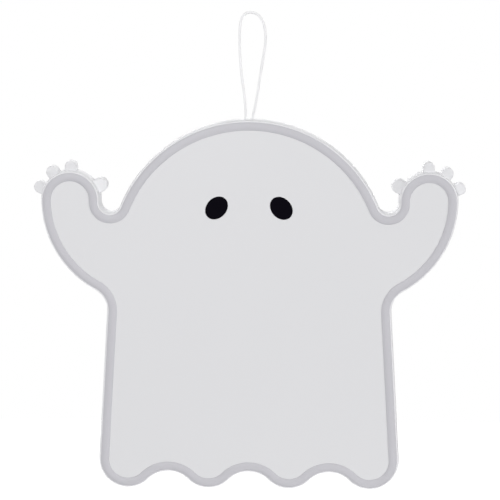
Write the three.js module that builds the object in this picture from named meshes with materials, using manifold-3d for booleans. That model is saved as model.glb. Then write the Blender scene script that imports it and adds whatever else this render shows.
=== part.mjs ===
// Hanging ghost light: a shallow white casing in the outline of a ghost with raised hands, a milky
// light tube let into its front edge, a plain face panel with two eyes, and a cord loop at the top.
// Three cells, a small board and a slide switch sit behind the panel.
// Millimetres. +X is to the right seen from the front, the face looks towards -Y, +Z is up.
// The origin is the point of the loop that lies on the hook.

import * as THREE from "three";
import { mergeVertices } from "three/addons/utils/BufferGeometryUtils.js";
import Module from "manifold-3d";

const wasm = await Module();
wasm.setup();
const degree = Math.PI / 180;

// Outline, on the centre line of the light tube, measured from the centre of the head's arc
const headRadius = 95.1;
const handOut = 32.4; // from the head's side out to the hand's centre
const handZ = 42;
const handRadius = 16.6;
const notchRadius = 11.9; // valley between head and hand
const armRadius = 69.7; // long curve from the hand down to the armpit
const armpitRadius = 20.7;
const sideSlant = 3.55 * degree; // the sides spread towards the hem
const hemLobes = 4;
const hemPitch = 58.4;
const lobeRadius = 16.7;
const hemWave = 12.2; // from the lobes' lowest points up to the valleys
const skirtDrop = 163.5; // from the head's centre down to the lobes' lowest points
const facetError = 0.25; // the most that a facet may leave its arc

// Fingers and thumb: round-ended stubs on the casing, centred on a ring round the hand
const fingerRing = 23.7;
const fingerRadius = 4.2;
const fingerCount = 3;
const fingerAngle = 22 * degree; // of the outermost finger, above level
const fingerStep = 34.3 * degree;
const thumbRadius = 5;
const thumbAngle = 153.5 * degree;
const fingerFaceDepth = 4.2; // behind the casing's front edge
const fingerSides = 7; // round a finger's end

// Light tube and the channel that it sits in
const tubeWidth = 5.6;
const tubeProud = 0.4; // height of its sides above the casing's front edge
const tubeCrown = 0.8;
const tubeCrownWidth = 3;
const tubeFit = 0.15;
const channelDepth = 4.1;
const channelFloor = 1;

// Light strip
const stripWidth = 3;
const stripThickness = 0.4;
const stripGap = 4;
const ledPitch = 33;
const ledLength = 2.8;
const ledWidth = 1.8;
const ledHeight = 0.8;

// Casing
const gap = 0.3; // general clearance between seated pieces
const lap = 0.1; // overlap of shapes that are joined into one solid
const through = 1; // how far a cut runs past the face that it opens
const lipWidth = 0.8; // outer edge of the channel, seen from the front
const shoulderWidth = 0.85; // the front edge slopes out to the side wall
const shoulderDepth = 5.5;
const wall = 1.6;
const ledgeWidth = 3; // carries the face panel
const panelThickness = 2;
const coverThickness = 1.8;
const coverDepth = 5.3; // the rear part of the side wall belongs to the cover

// Eyes, inlaid in the face panel
const eyeSpacing = 46;
const eyeZ = 37.1;
const eyeLong = 17.9;
const eyeShort = 14.1;
const eyeTilt = 47 * degree; // the eyes lean together at the top
const eyeThickness = 1;
const eyeFit = 0.15;

// Cells and the tray that holds them
const cellRows = 3;
const cellDiameter = 10.5;
const cellLength = 44.5;
const nippleDiameter = 3.8;
const nippleLength = 1;
const cellGap = 0.4; // between rows
const cellRest = 0.2; // between a cell and the tray's floor
const springLength = 5;
const springFoot = 6.4;
const springTip = 4;
const contactThickness = 0.4;
const contactHeight = 8.6;
const contactDepth = 8;
const trayFloor = 1.1;
const trayWall = 2.8;
const trayZ = -62;

// Battery door
const doorThickness = 1.6;
const doorLedge = 1.2; // how far the tray's rim carries the door
const doorFit = 0.35;
const doorTabWidth = 6;
const doorTabSpacing = 36;
const doorTabReach = 1.6; // how far the tabs hook in under the cover
const doorTabThickness = 1;
const doorTabStem = 0.8;
const doorTabSwing = 4.2; // room that the tabs need as the door turns
const latchWidth = 13;
const latchHeight = 5;
const latchSeat = 1.2;
const nailRadius = 5; // hollow for a fingernail at the latch
const nailDepth = 0.8;

// Board, its posts and the slide switch
const boardWidth = 37;
const boardHeight = 18;
const boardThickness = 1.2;
const boardZ = -103;
const postInset = 4; // from the board's ends
const postDiameter = 5;
const switchLength = 12;
const switchHeight = 5;
const switchDepth = 4.2;
const switchInset = 2; // from the board's upper edge
const switchTravel = 2; // to each side of its middle position
const sliderFoot = { length: 5, height: 2.4, depth: 1.2 };
const sliderKnob = { length: 3, height: 1.8 };
const knobProud = 0.5;
const dishMargin = 2; // shallow hollow round the knob's slot
const dishDepth = 0.8;
const sliderFit = 0.3;
const chipSize = 5;
const chipHeight = 1.4;
const resistorLength = 3.2;
const resistorWidth = 1.6;
const resistorHeight = 0.7;
const resistorPlace = 7; // to each side of the chip's middle

// Screws
const coverScrew = { head: 5, headDepth: 1.5, shank: 2.6, length: 8 };
const boardScrew = { head: 4, headDepth: 1.3, shank: 1.8, length: 5 };
const screwFit = 0.3; // round the shank
const screwSeat = 1.9; // left under a head
const seatGap = 0.1; // between a head and its seat
const slotWidth = 0.8;
const slotDepth = 0.6;
const slotShare = 0.65; // of the head's diameter
const bossRadius = 3.8;
const bossLap = 1.6; // how far the bosses run into the panel's ledge
const headScrewAngle = 52 * degree;
const handScrewAngle = 60 * degree;
const lobeScrewAngle = -60 * degree;

// Leads
const leadDiameter = 1.4;
const leadFit = 0.4;
const leadSpacing = 3;
const leadBend = 4;
const leadDip = 1.5; // the strip's leads turn down into their holes over this height
const leadRunOut = 3;

// Hanging cord
const cordDiameter = 1.8;
const cordHoleFit = 0.5;
const cordHoleSpacing = 5.2;
const cordAheadOfMiddle = 0.6; // of the casing's depth, so that the holes lie over its centre of mass
const knotRadius = 1.9;
const knotSides = 5; // down a knot's flank
const knotNeck = 0.6;
const knotSink = 0.5; // the cord's inner end stays this far below the casing's surface
// The free loop, as distances sideways and above its exit, with its top over the origin
const loopRoute = [
  [-2.6, 0], [-2.6, 3], [-3.1, 12], [-4, 20], [-5.2, 28], [-6.2, 37], [-6.8, 48], [-6.9, 59],
  [-6, 68], [-3.7, 73], [0, 75.1], [4, 73.9], [7.2, 70.6], [10, 64.8], [11.2, 57.3], [10.6, 48.7],
  [8.6, 36.8], [6.8, 25], [5.2, 15], [3.4, 6], [2.6, 2.6], [2.6, 0],
];
const loopSteps = 36;

// Levels through the depth, from the front edge to the back face
const caseDepth = panelThickness + gap + trayFloor + cellRest + cellDiameter + gap + doorThickness;
const frontY = cordAheadOfMiddle - caseDepth / 2;
const backY = frontY + caseDepth;
const panelBackY = frontY + panelThickness;
const ledgeY = panelBackY + gap;
const channelY = frontY + channelDepth;
const channelBackY = channelY + channelFloor;
const coverY = backY - coverThickness;
const partingY = backY - coverDepth;
const housingBackY = partingY - gap;
const screwSeatY = partingY + screwSeat;
const trayFrontY = panelBackY + gap;
const trayFloorY = trayFrontY + trayFloor;
const cellY = trayFloorY + cellRest + cellDiameter / 2;
const doorY = backY - doorThickness;
const fingerFaceY = frontY + fingerFaceDepth;

// Distances from the tube's centre line, outwards
const tubeEdge = tubeWidth / 2;
const channelEdge = tubeEdge + tubeFit;
const lipEdge = channelEdge + lipWidth;
const caseEdge = lipEdge + shoulderWidth;
const ledgeEdge = -channelEdge - ledgeWidth;
const wallEdge = caseEdge - wall;
const bossInset = ledgeEdge - bossRadius + bossLap;

// Heights
const caseTop = headRadius + caseEdge;
const loopTop = Math.max(...loopRoute.map((point) => point[1]));
const cordExitZ = -(loopTop - cordDiameter / 2);
const datumZ = cordExitZ - gap - caseTop; // the centre of the head's arc

const materials = {
  housing: new THREE.MeshStandardMaterial({ color: 0xf2f2f3, roughness: 0.45, metalness: 0 }),
  panel: new THREE.MeshStandardMaterial({ color: 0xe6e6e8, roughness: 0.55, metalness: 0 }),
  tube: new THREE.MeshStandardMaterial({ color: 0xc6c5ca, roughness: 0.5, metalness: 0 }),
  eye: new THREE.MeshStandardMaterial({ color: 0x08070c, roughness: 0.35, metalness: 0 }),
  strip: new THREE.MeshStandardMaterial({ color: 0xf4f1e6, roughness: 0.5, metalness: 0 }),
  board: new THREE.MeshStandardMaterial({ color: 0x2f6b45, roughness: 0.5, metalness: 0 }),
  switch: new THREE.MeshStandardMaterial({ color: 0x26262a, roughness: 0.5, metalness: 0 }),
  cell: new THREE.MeshStandardMaterial({ color: 0x55585c, roughness: 0.4, metalness: 0.3 }),
  contact: new THREE.MeshStandardMaterial({ color: 0xc9c9c4, roughness: 0.3, metalness: 1 }),
  screw: new THREE.MeshStandardMaterial({ color: 0xb9babc, roughness: 0.35, metalness: 1 }),
  redLead: new THREE.MeshStandardMaterial({ color: 0xb02420, roughness: 0.5, metalness: 0 }),
  blackLead: new THREE.MeshStandardMaterial({ color: 0x1a1a1c, roughness: 0.5, metalness: 0 }),
  cord: new THREE.MeshStandardMaterial({ color: 0xeeeeee, roughness: 0.8, metalness: 0 }),
};

// Solids

function toSolid(geometry) {
  geometry.deleteAttribute("normal");
  geometry.deleteAttribute("uv");
  const merged = mergeVertices(geometry, 1e-4);
  return new wasm.Manifold(
    new wasm.Mesh({
      numProp: 3,
      vertProperties: merged.attributes.position.array,
      triVerts: new Uint32Array(merged.index.array),
    }),
  );
}

function toGeometry(solid) {
  const mesh = solid.getMesh();
  const geometry = new THREE.BufferGeometry();
  geometry.setAttribute("position", new THREE.BufferAttribute(mesh.vertProperties, 3));
  geometry.setIndex(new THREE.BufferAttribute(mesh.triVerts, 1));
  return geometry;
}

function join(solids) {
  return solids.reduce((whole, solid) => whole.add(solid));
}

function cut(solid, cutters) {
  return cutters.reduce((whole, cutter) => whole.subtract(cutter), solid);
}

function box(x0, x1, y0, y1, z0, z1) {
  const geometry = new THREE.BoxGeometry(x1 - x0, y1 - y0, z1 - z0);
  geometry.translate((x0 + x1) / 2, (y0 + y1) / 2, (z0 + z1) / 2);
  return toSolid(geometry);
}

// A block centred on x and z, between two depths
function block(x, z, length, height, y0, y1) {
  return box(x - length / 2, x + length / 2, y0, y1, z - height / 2, z + height / 2);
}

// A round pin or hole through the depth
function pin(x, z, radius, y0, y1, sides = 14) {
  const geometry = new THREE.CylinderGeometry(radius, radius, y1 - y0, sides);
  geometry.translate(x, (y0 + y1) / 2, z);
  return toSolid(geometry);
}

// A flat plate of the given outline in the XZ plane
function slab(points, y0, y1) {
  const shape = new THREE.Shape(points.map(([x, z]) => new THREE.Vector2(x, z)));
  const geometry = new THREE.ExtrudeGeometry(shape, { depth: y1 - y0, bevelEnabled: false });
  geometry.rotateX(Math.PI / 2);
  geometry.translate(0, y1, 0);
  return toSolid(geometry);
}

// A turned piece about the depth axis, from radius and depth pairs
function turned(profile, sides) {
  const points = profile.map(([radius, y]) => new THREE.Vector2(radius, y));
  return new THREE.LatheGeometry(points, sides);
}

// A round wire or cord along a smooth route
function wire(route, diameter, steps, sides = 8) {
  const section = new THREE.Shape();
  section.absarc(0, 0, diameter / 2, 0, 2 * Math.PI);
  const path = new THREE.CatmullRomCurve3(
    route.map(([x, y, z]) => new THREE.Vector3(x, y, z)),
    false,
    "centripetal",
  );
  const options = { steps, extrudePath: path, curveSegments: sides / 2, bevelEnabled: false };
  return toSolid(new THREE.ExtrudeGeometry(section, options));
}

// Outline

// The circle of the given radius that touches two others from outside, on their upper side
function filletAbove(a, b, radius) {
  const span = Math.hypot(b.x - a.x, b.z - a.z);
  const reachA = a.r + radius;
  const reachB = b.r + radius;
  const along = (span ** 2 + reachA ** 2 - reachB ** 2) / (2 * span);
  const across = Math.sqrt(reachA ** 2 - along ** 2);
  const ux = (b.x - a.x) / span;
  const uz = (b.z - a.z) / span;
  return { x: a.x + along * ux - across * uz, z: a.z + along * uz + across * ux, r: radius };
}

const head = { x: 0, z: 0, r: headRadius };
const handX = headRadius + handOut;
const hand = { x: handX, z: handZ, r: handRadius };
const notch = filletAbove(head, hand, notchRadius);
const arm = { x: handX + handRadius - armRadius, z: handZ, r: armRadius };
const lobeZ = lobeRadius - skirtDrop;
const corner = { x: ((hemLobes - 1) / 2) * hemPitch, z: lobeZ, r: lobeRadius };
const armpit = findArmpit();
const hemReach = ((hemPitch / 2) ** 2 + hemWave ** 2) / (2 * hemWave);
const valleyRadius = hemReach - lobeRadius;
const valleyZ = hemWave - skirtDrop - valleyRadius;

// The armpit's arc touches the arm and the straight side, which touches the corner lobe
function findArmpit() {
  const normal = { x: Math.cos(sideSlant), z: Math.sin(sideSlant) };
  const up = { x: -normal.z, z: normal.x };
  const start = {
    x: corner.x + (lobeRadius + armpitRadius) * normal.x,
    z: corner.z + (lobeRadius + armpitRadius) * normal.z,
  };
  const toArm = { x: start.x - arm.x, z: start.z - arm.z };
  const along = toArm.x * up.x + toArm.z * up.z;
  const reach = arm.r + armpitRadius;
  const rest = toArm.x ** 2 + toArm.z ** 2 - reach ** 2;
  const climb = -along - Math.sqrt(along ** 2 - rest);
  return { x: start.x + climb * up.x, z: start.z + climb * up.z, r: armpitRadius };
}

function direction(from, to) {
  return Math.atan2(to.z - from.z, to.x - from.x);
}

// Stations along one arc: points with the outward normal, which turns from one angle to the other
function arcStations(circle, from, to) {
  const bulges = to < from;
  const side = bulges ? 1 : -1;
  const step = 2 * Math.acos(1 - facetError / circle.r);
  const count = Math.max(1, Math.ceil(Math.abs(to - from) / step));
  const stations = [];
  for (let i = 0; i <= count; i += 1) {
    const angle = from + ((to - from) * i) / count;
    const nx = Math.cos(angle);
    const nz = Math.sin(angle);
    stations.push({ x: circle.x + side * circle.r * nx, z: circle.z + side * circle.r * nz, nx, nz });
  }
  return stations;
}

// The right half from the top of the head round to the middle of the hem
function rightHalf() {
  const lobeToValley = Math.atan2(valleyZ - lobeZ, -hemPitch / 2);
  const valleyToLobe = -Math.PI - lobeToValley;
  const notchTurn = direction(head, notch);
  const handTurn = (direction(hand, notch) + 2 * Math.PI) % (2 * Math.PI);
  const armTurn = direction(arm, armpit);
  const half = [
    ...arcStations(head, Math.PI / 2, notchTurn),
    ...arcStations(notch, notchTurn, handTurn),
    ...arcStations(hand, handTurn, 0),
    ...arcStations(arm, 0, armTurn),
    ...arcStations(armpit, armTurn, sideSlant),
    ...arcStations(corner, sideSlant, lobeToValley),
  ];
  for (let x = corner.x - hemPitch / 2; x > -1; x -= hemPitch / 2) {
    const isValley = Math.abs(((corner.x - x) / hemPitch) % 1 - 0.5) < 0.01;
    const last = x < 1;
    if (isValley) {
      const end = last ? -Math.PI / 2 : valleyToLobe;
      half.push(...arcStations({ x, z: valleyZ, r: valleyRadius }, lobeToValley, end));
    } else {
      const end = last ? -Math.PI / 2 : lobeToValley;
      half.push(...arcStations({ x, z: lobeZ, r: lobeRadius }, valleyToLobe, end));
    }
  }
  return half.filter((s, i) => i === 0 || Math.hypot(s.x - half[i - 1].x, s.z - half[i - 1].z) > 0.01);
}

const half = rightHalf();
const mirrored = half.slice(1, -1).reverse().map((s) => ({ ...s, x: -s.x, nx: -s.nx }));
const stations = [...half, ...mirrored];

function outline(offset) {
  return stations.map((s) => [s.x + s.nx * offset, s.z + s.nz * offset]);
}

// A closed ring along the outline, from a section of offset and depth pairs
function ring(section) {
  const corners = section.length;
  const positions = [];
  const indices = [];
  stations.forEach((s, i) => {
    const next = (i + 1) % stations.length;
    section.forEach(([offset, y], j) => {
      positions.push(s.x + s.nx * offset, y, s.z + s.nz * offset);
      const beside = (j + 1) % corners;
      const a = i * corners + j;
      const b = i * corners + beside;
      const c = next * corners + j;
      const d = next * corners + beside;
      indices.push(a, b, c, b, d, c);
    });
  });
  const geometry = new THREE.BufferGeometry();
  geometry.setAttribute("position", new THREE.Float32BufferAttribute(positions, 3));
  geometry.setIndex(indices);
  return toSolid(geometry);
}

function onCircle(circle, angle, inset) {
  const reach = circle.r + inset;
  return { x: circle.x + reach * Math.cos(angle), z: circle.z + reach * Math.sin(angle) };
}

// Fingers

const digits = [-1, 1].flatMap((side) => [
  ...Array.from({ length: fingerCount }, (_, i) => ({
    side,
    angle: fingerAngle + i * fingerStep,
    radius: fingerRadius,
  })),
  { side, angle: thumbAngle, radius: thumbRadius },
]);

// A finger's outline, with its straight sides running into the hand's wall
function fingerOutline({ side, angle, radius }, inset, root) {
  const half = radius - inset;
  const local = [[root, -half]];
  for (let i = 0; i <= fingerSides; i += 1) {
    const turn = (i / fingerSides - 0.5) * Math.PI;
    local.push([fingerRing + half * Math.cos(turn), half * Math.sin(turn)]);
  }
  local.push([root, half]);
  return local.map(([along, across]) => [
    side * (handX + along * Math.cos(angle) - across * Math.sin(angle)),
    handZ + along * Math.sin(angle) + across * Math.cos(angle),
  ]);
}

function fingers(y0, y1) {
  return digits.map((digit) => slab(fingerOutline(digit, 0, handRadius + wallEdge), y0, y1));
}

function fingerPockets(y0, y1) {
  return digits.map((digit) => slab(fingerOutline(digit, wall, handRadius + caseEdge), y0, y1));
}

// Screw places, mirrored about the middle

function screwPlaces() {
  const sideZ = (armpit.z + corner.z) / 2;
  const rise = sideZ - corner.z;
  const sideEdge = corner.x + (lobeRadius - rise * Math.sin(sideSlant)) / Math.cos(sideSlant);
  const right = [
    onCircle(head, headScrewAngle, bossInset),
    onCircle(hand, handScrewAngle, bossInset),
    { x: sideEdge + bossInset, z: sideZ },
    onCircle(corner, lobeScrewAngle, bossInset),
  ];
  return right.flatMap(({ x, z }) => [{ x: -x, z }, { x, z }]);
}

const screws = screwPlaces();
const cordHoles = [-cordHoleSpacing / 2, cordHoleSpacing / 2];
const feedPlaces = [leadSpacing / 2 + stripGap / 2, leadSpacing * 1.5 + stripGap / 2];

// The tube's centre line near the middle of the hem
function hemZ(x) {
  return hemLobes % 2 === 0
    ? valleyZ + Math.sqrt(valleyRadius ** 2 - x ** 2)
    : lobeZ - Math.sqrt(lobeRadius ** 2 - x ** 2);
}

// Casing pieces

function frontHousing() {
  const shell = ring([
    [caseEdge, housingBackY],
    [caseEdge, frontY + shoulderDepth],
    [lipEdge, frontY],
    [channelEdge, frontY],
    [channelEdge, channelY],
    [-channelEdge, channelY],
    [-channelEdge, ledgeY],
    [ledgeEdge, ledgeY],
    [ledgeEdge, channelBackY],
    [wallEdge, channelBackY],
    [wallEdge, housingBackY],
  ]);
  const bosses = screws.map(({ x, z }) => pin(x, z, bossRadius, ledgeY, housingBackY));
  const pilotDepth = screwSeatY + seatGap - coverScrew.length - gap;
  const pilots = screws.map(({ x, z }) =>
    pin(x, z, coverScrew.shank / 2 + screwFit, pilotDepth, backY, 8),
  );
  const cordHole = (x) => {
    const radius = cordDiameter / 2 + cordHoleFit;
    const geometry = new THREE.CylinderGeometry(radius, radius, 4 * wall, 12);
    geometry.rotateX(Math.PI / 2);
    geometry.translate(x, 0, caseTop - wall / 2);
    return toSolid(geometry);
  };
  const feedHoles = feedPlaces.map((x) =>
    pin(x, hemZ(x), leadDiameter / 2 + leadFit, channelY - through, channelBackY + through, 8),
  );
  const body = join([shell, ...fingers(fingerFaceY, housingBackY), ...bosses]);
  const pockets = fingerPockets(fingerFaceY + wall, backY);
  return cut(body, [...pockets, ...pilots, ...cordHoles.map(cordHole), ...feedHoles]);
}

function eyeOutline(side, grow) {
  const points = [];
  const sides = 24;
  for (let i = 0; i < sides; i += 1) {
    const angle = (2 * Math.PI * i) / sides;
    const u = (eyeLong / 2 + grow) * Math.cos(angle);
    const v = (eyeShort / 2 + grow) * Math.sin(angle);
    const tilt = side < 0 ? eyeTilt : Math.PI - eyeTilt;
    const x = u * Math.cos(tilt) - v * Math.sin(tilt);
    const z = u * Math.sin(tilt) + v * Math.cos(tilt);
    points.push([(side * eyeSpacing) / 2 + x, eyeZ + z]);
  }
  return points;
}

function facePanel() {
  const plate = slab(outline(-channelEdge), frontY, panelBackY);
  const pocketY = frontY + eyeThickness + eyeFit;
  return cut(plate, [-1, 1].map((side) => slab(eyeOutline(side, eyeFit), frontY - through, pocketY)));
}

function eye(side) {
  return slab(eyeOutline(side, 0), frontY, frontY + eyeThickness);
}

const stripBackY = channelY - seatGap;
const stripFrontY = stripBackY - stripThickness;

function diffuserTube() {
  const base = stripFrontY - ledHeight - gap;
  const shoulder = frontY - tubeProud;
  return ring([
    [tubeEdge, base],
    [tubeEdge, shoulder],
    [tubeCrownWidth / 2, shoulder - tubeCrown],
    [-tubeCrownWidth / 2, shoulder - tubeCrown],
    [-tubeEdge, shoulder],
    [-tubeEdge, base],
  ]);
}

function ledStrip() {
  const tape = ring([
    [stripWidth / 2, stripBackY],
    [stripWidth / 2, stripFrontY],
    [-stripWidth / 2, stripFrontY],
    [-stripWidth / 2, stripBackY],
  ]);
  const opening = block(0, hemZ(0), stripGap, 4 * stripWidth, frontY, backY);
  const centreLine = new THREE.CatmullRomCurve3(
    stations.map((s) => new THREE.Vector3(s.x, 0, s.z)),
    true,
  );
  const count = 2 * Math.round(centreLine.getLength() / ledPitch / 2); // none over the opening
  const leds = [];
  for (let i = 0; i < count; i += 1) {
    const along = (i + 0.5) / count;
    const point = centreLine.getPointAt(along);
    const tangent = centreLine.getTangentAt(along);
    const led = new THREE.BoxGeometry(ledLength, ledHeight + stripThickness / 2, ledWidth);
    led.rotateY(-Math.atan2(tangent.z, tangent.x));
    led.translate(point.x, stripFrontY - ledHeight / 2 + stripThickness / 4, point.z);
    leds.push(toSolid(led));
  }
  return join([tape.subtract(opening), ...leds]);
}

// Cells, contacts and the tray

const trayHeight = cellRows * cellDiameter + (cellRows + 1) * cellGap;
const trayLength = cellLength + springLength + 2 * contactThickness + 4 * gap;
const doorHeight = trayHeight + 2 * doorLedge;
const doorLength = trayLength + 2 * doorLedge;
const doorFoot = trayZ - doorHeight / 2;
const hinge = { y: doorY + doorThickness / 2, z: doorFoot + doorThickness / 2 };
const tabPlaces = [-doorTabSpacing / 2, doorTabSpacing / 2];

// The plus ends of the rows point left and right in turn, from the top row down
const rows = Array.from({ length: cellRows }, (_, i) => ({
  z: trayZ + (cellDiameter + cellGap) * ((cellRows - 1) / 2 - i),
  plus: i % 2 === 0 ? -1 : 1,
}));

function battery({ z, plus }) {
  const length = cellLength - nippleLength;
  const geometry = turned(
    [
      [0, -length / 2],
      [cellDiameter / 2, -length / 2],
      [cellDiameter / 2, length / 2],
      [nippleDiameter / 2, length / 2],
      [nippleDiameter / 2, length / 2 + nippleLength],
      [0, length / 2 + nippleLength],
    ],
    14,
  );
  geometry.rotateZ(-plus * (Math.PI / 2));
  const plusEnd = trayLength / 2 - 2 * gap - contactThickness;
  geometry.translate(plus * (plusEnd - nippleLength - length / 2), cellY, z);
  return toSolid(geometry);
}

// One contact plate at an end of the tray, over one row or joining two
function contact(side, held) {
  const inner = side * (trayLength / 2 - gap - contactThickness);
  const outer = side * (trayLength / 2 - gap);
  const zs = held.map((row) => row.z);
  const top = Math.max(...zs) + contactHeight / 2;
  const foot = Math.min(...zs) - contactHeight / 2;
  const x0 = Math.min(inner, outer);
  const x1 = Math.max(inner, outer);
  const plate = box(x0, x1, cellY - contactDepth / 2, cellY + contactDepth / 2, foot, top);
  const springs = held
    .filter((row) => row.plus !== side)
    .map((row) => {
      const cone = new THREE.CylinderGeometry(springTip / 2, springFoot / 2, springLength, 12);
      cone.rotateZ(side * (Math.PI / 2));
      cone.translate(inner - side * (springLength / 2 - lap), cellY, row.z);
      return toSolid(cone);
    });
  return join([plate, ...springs]);
}

function backCover() {
  const plate = join([slab(outline(caseEdge), partingY, backY), ...fingers(partingY, backY)]);
  const insideFront = partingY - through;
  const inside = [slab(outline(wallEdge), insideFront, coverY), ...fingerPockets(insideFront, coverY)];
  const outerLength = trayLength + 2 * trayWall;
  const outerHeight = trayHeight + 2 * trayWall;
  const tray = block(0, trayZ, outerLength, outerHeight, trayFrontY, coverY + lap);
  const latchZ = trayZ + doorHeight / 2 + latchHeight / 2;
  const seatLength = latchWidth + 2 * (doorFit + latchSeat);
  const seatHeight = latchHeight + 2 * (doorFit + latchSeat);
  const seat = block(0, latchZ, seatLength, seatHeight, doorY - gap - latchSeat, coverY + lap);
  const postEnd = boardBackY + gap;
  const posts = postPlaces.map((x) => pin(x, boardZ, postDiameter / 2, postEnd, coverY + lap, 12));
  const sleeves = screws.map(({ x, z }) => pin(x, z, bossRadius, partingY, coverY + lap));

  const hollow = block(0, trayZ, trayLength, trayHeight, trayFloorY, backY + through);
  const openLength = doorLength + 2 * doorFit;
  const openHeight = doorHeight + 2 * doorFit;
  const doorRecess = block(0, trayZ, openLength, openHeight, doorY - gap, backY + through);
  const notchLength = latchWidth + 2 * doorFit;
  const latchNotch = block(0, latchZ, notchLength, latchHeight + 2 * doorFit, doorY - gap, backY + through);
  const nailHollow = pin(0, latchZ + latchHeight / 2, nailRadius, backY - nailDepth, backY + through);
  const tabSlots = tabPlaces.map((x) =>
    box(
      x - doorTabWidth / 2 - doorFit,
      x + doorTabWidth / 2 + doorFit,
      hinge.y - doorTabSwing,
      coverY,
      doorFoot - doorTabReach - 2 * doorFit,
      doorFoot + 2 * doorLedge,
    ),
  );
  const leadHoles = [
    { side: -1, z: rows[0].z },
    { side: 1, z: rows[cellRows - 1].z },
  ].map(({ side, z }) => {
    const radius = leadDiameter / 2 + leadFit;
    const geometry = new THREE.CylinderGeometry(radius, radius, 2 * trayWall, 12);
    geometry.rotateZ(Math.PI / 2);
    geometry.translate(side * (trayLength / 2 + trayWall / 2), cellY, z);
    return toSolid(geometry);
  });
  const slotLength = sliderKnob.length + 2 * switchTravel + 2 * sliderFit;
  const slotHeight = sliderKnob.height + 2 * sliderFit;
  const knobSlot = block(0, switchZ, slotLength, slotHeight, coverY - through, backY + through);
  const dish = block(
    0,
    switchZ,
    slotLength + 2 * dishMargin,
    slotHeight + 2 * dishMargin,
    backY - dishDepth,
    backY + through,
  );
  const postHoles = postPlaces.map((x) =>
    pin(x, boardZ, boardScrew.shank / 2 + screwFit, postEnd - through, coverY - screwFit, 8),
  );
  const doorCuts = [hollow, doorRecess, latchNotch, nailHollow, ...tabSlots];
  const otherCuts = [...leadHoles, knobSlot, dish, ...postHoles, ...screws.map(screwHole)];
  return cut(join([cut(plate, inside), tray, seat, ...posts, ...sleeves]), [...doorCuts, ...otherCuts]);
}

function screwHole({ x, z }) {
  const wide = coverScrew.head / 2 + screwFit;
  const narrow = coverScrew.shank / 2 + screwFit;
  return pin(x, z, wide, screwSeatY, backY + through, 12).add(pin(x, z, narrow, partingY - through, backY, 8));
}

// The door turns about its lower edge, where two tabs hook in under the cover
function batteryDoor() {
  const leaf = box(-doorLength / 2, doorLength / 2, doorY, backY, hinge.z, doorFoot + doorHeight);
  const roundEdge = new THREE.CylinderGeometry(doorThickness / 2, doorThickness / 2, doorLength, 16);
  roundEdge.rotateZ(Math.PI / 2);
  roundEdge.translate(0, hinge.y, hinge.z);
  const latchFoot = doorFoot + doorHeight;
  const latchMiddle = latchFoot + (latchHeight - lap) / 2;
  const latch = block(0, latchMiddle, latchWidth, latchHeight + lap, doorY, backY);
  const tabY = coverY - gap;
  const tabs = tabPlaces.flatMap((x) => [
    box(
      x - doorTabWidth / 2,
      x + doorTabWidth / 2,
      tabY - doorTabThickness,
      doorY + lap,
      hinge.z - doorTabStem / 2,
      hinge.z + doorTabStem / 2,
    ),
    box(
      x - doorTabWidth / 2,
      x + doorTabWidth / 2,
      tabY - doorTabThickness,
      tabY,
      doorFoot - doorTabReach,
      hinge.z,
    ),
  ]);
  return join([leaf, toSolid(roundEdge), latch, ...tabs]);
}

// Board and switch

const switchBackY = coverY - gap;
const switchFrontY = switchBackY - switchDepth;
const boardBackY = switchFrontY - gap;
const boardFrontY = boardBackY - boardThickness;
const switchZ = boardZ + (boardHeight - switchHeight) / 2 - switchInset;
const postPlaces = [postInset - boardWidth / 2, boardWidth / 2 - postInset];

function controlBoard() {
  const plate = block(0, boardZ, boardWidth, boardHeight, boardFrontY, boardBackY);
  const low = boardZ - boardHeight / 4;
  const chip = block(0, low, chipSize, chipSize, boardFrontY - chipHeight, boardFrontY + lap);
  const partY = boardFrontY - resistorHeight;
  const parts = [-1, 1].map((side) =>
    block(side * resistorPlace, low, resistorWidth, resistorLength, partY, boardFrontY + lap),
  );
  const holes = postPlaces.map((x) =>
    pin(x, boardZ, boardScrew.shank / 2 + screwFit, boardFrontY - through, boardBackY + through, 12),
  );
  return cut(join([plate, chip, ...parts]), holes);
}

const pocketLength = sliderFoot.length + 2 * switchTravel + 2 * sliderFit;
const pocketY = switchBackY - sliderFoot.depth - 2 * sliderFit;

function switchBody() {
  const body = block(0, switchZ, switchLength, switchHeight, switchFrontY, switchBackY);
  const pocketHeight = sliderFoot.height + 2 * sliderFit;
  return body.subtract(block(0, switchZ, pocketLength, pocketHeight, pocketY, backY));
}

function switchSlider() {
  const footY = pocketY + sliderFit;
  const foot = block(0, switchZ, sliderFoot.length, sliderFoot.height, footY, footY + sliderFoot.depth);
  const knob = block(0, switchZ, sliderKnob.length, sliderKnob.height, footY, backY + knobProud);
  return foot.add(knob);
}

// Screws, driven towards -Y from the back or towards +Y from inside

// A screw with its head's underside at depth 0 and its shank towards +Y
function screwSolid({ head: headDiameter, headDepth, shank, length }) {
  const solid = toSolid(
    turned(
      [
        [0, -headDepth],
        [headDiameter / 2, -headDepth],
        [headDiameter / 2, 0],
        [shank / 2, 0],
        [shank / 2, length],
        [0, length],
      ],
      10,
    ),
  );
  const slotLength = slotShare * headDiameter;
  const slotY = slotDepth - headDepth;
  return cut(solid, [
    block(0, 0, slotLength, slotWidth, -headDepth - through, slotY),
    block(0, 0, slotWidth, slotLength, -headDepth - through, slotY),
  ]);
}

// Leads

const boardMidY = (boardFrontY + boardBackY) / 2;

function batteryLead(side, row) {
  const wallFace = trayLength / 2;
  const runX = side * (wallFace + trayWall + leadRunOut);
  return wire(
    [
      [side * wallFace, cellY, row.z],
      [side * (wallFace + trayWall), cellY, row.z],
      [runX, cellY, row.z - leadBend],
      [runX, (cellY + boardMidY) / 2, (row.z + boardZ) / 2],
      [runX, boardMidY, boardZ + leadBend],
      [side * (boardWidth / 2 + leadBend), boardMidY, boardZ],
      [side * (boardWidth / 2 + gap), boardMidY, boardZ],
    ],
    leadDiameter,
    16,
    6,
  );
}

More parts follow.
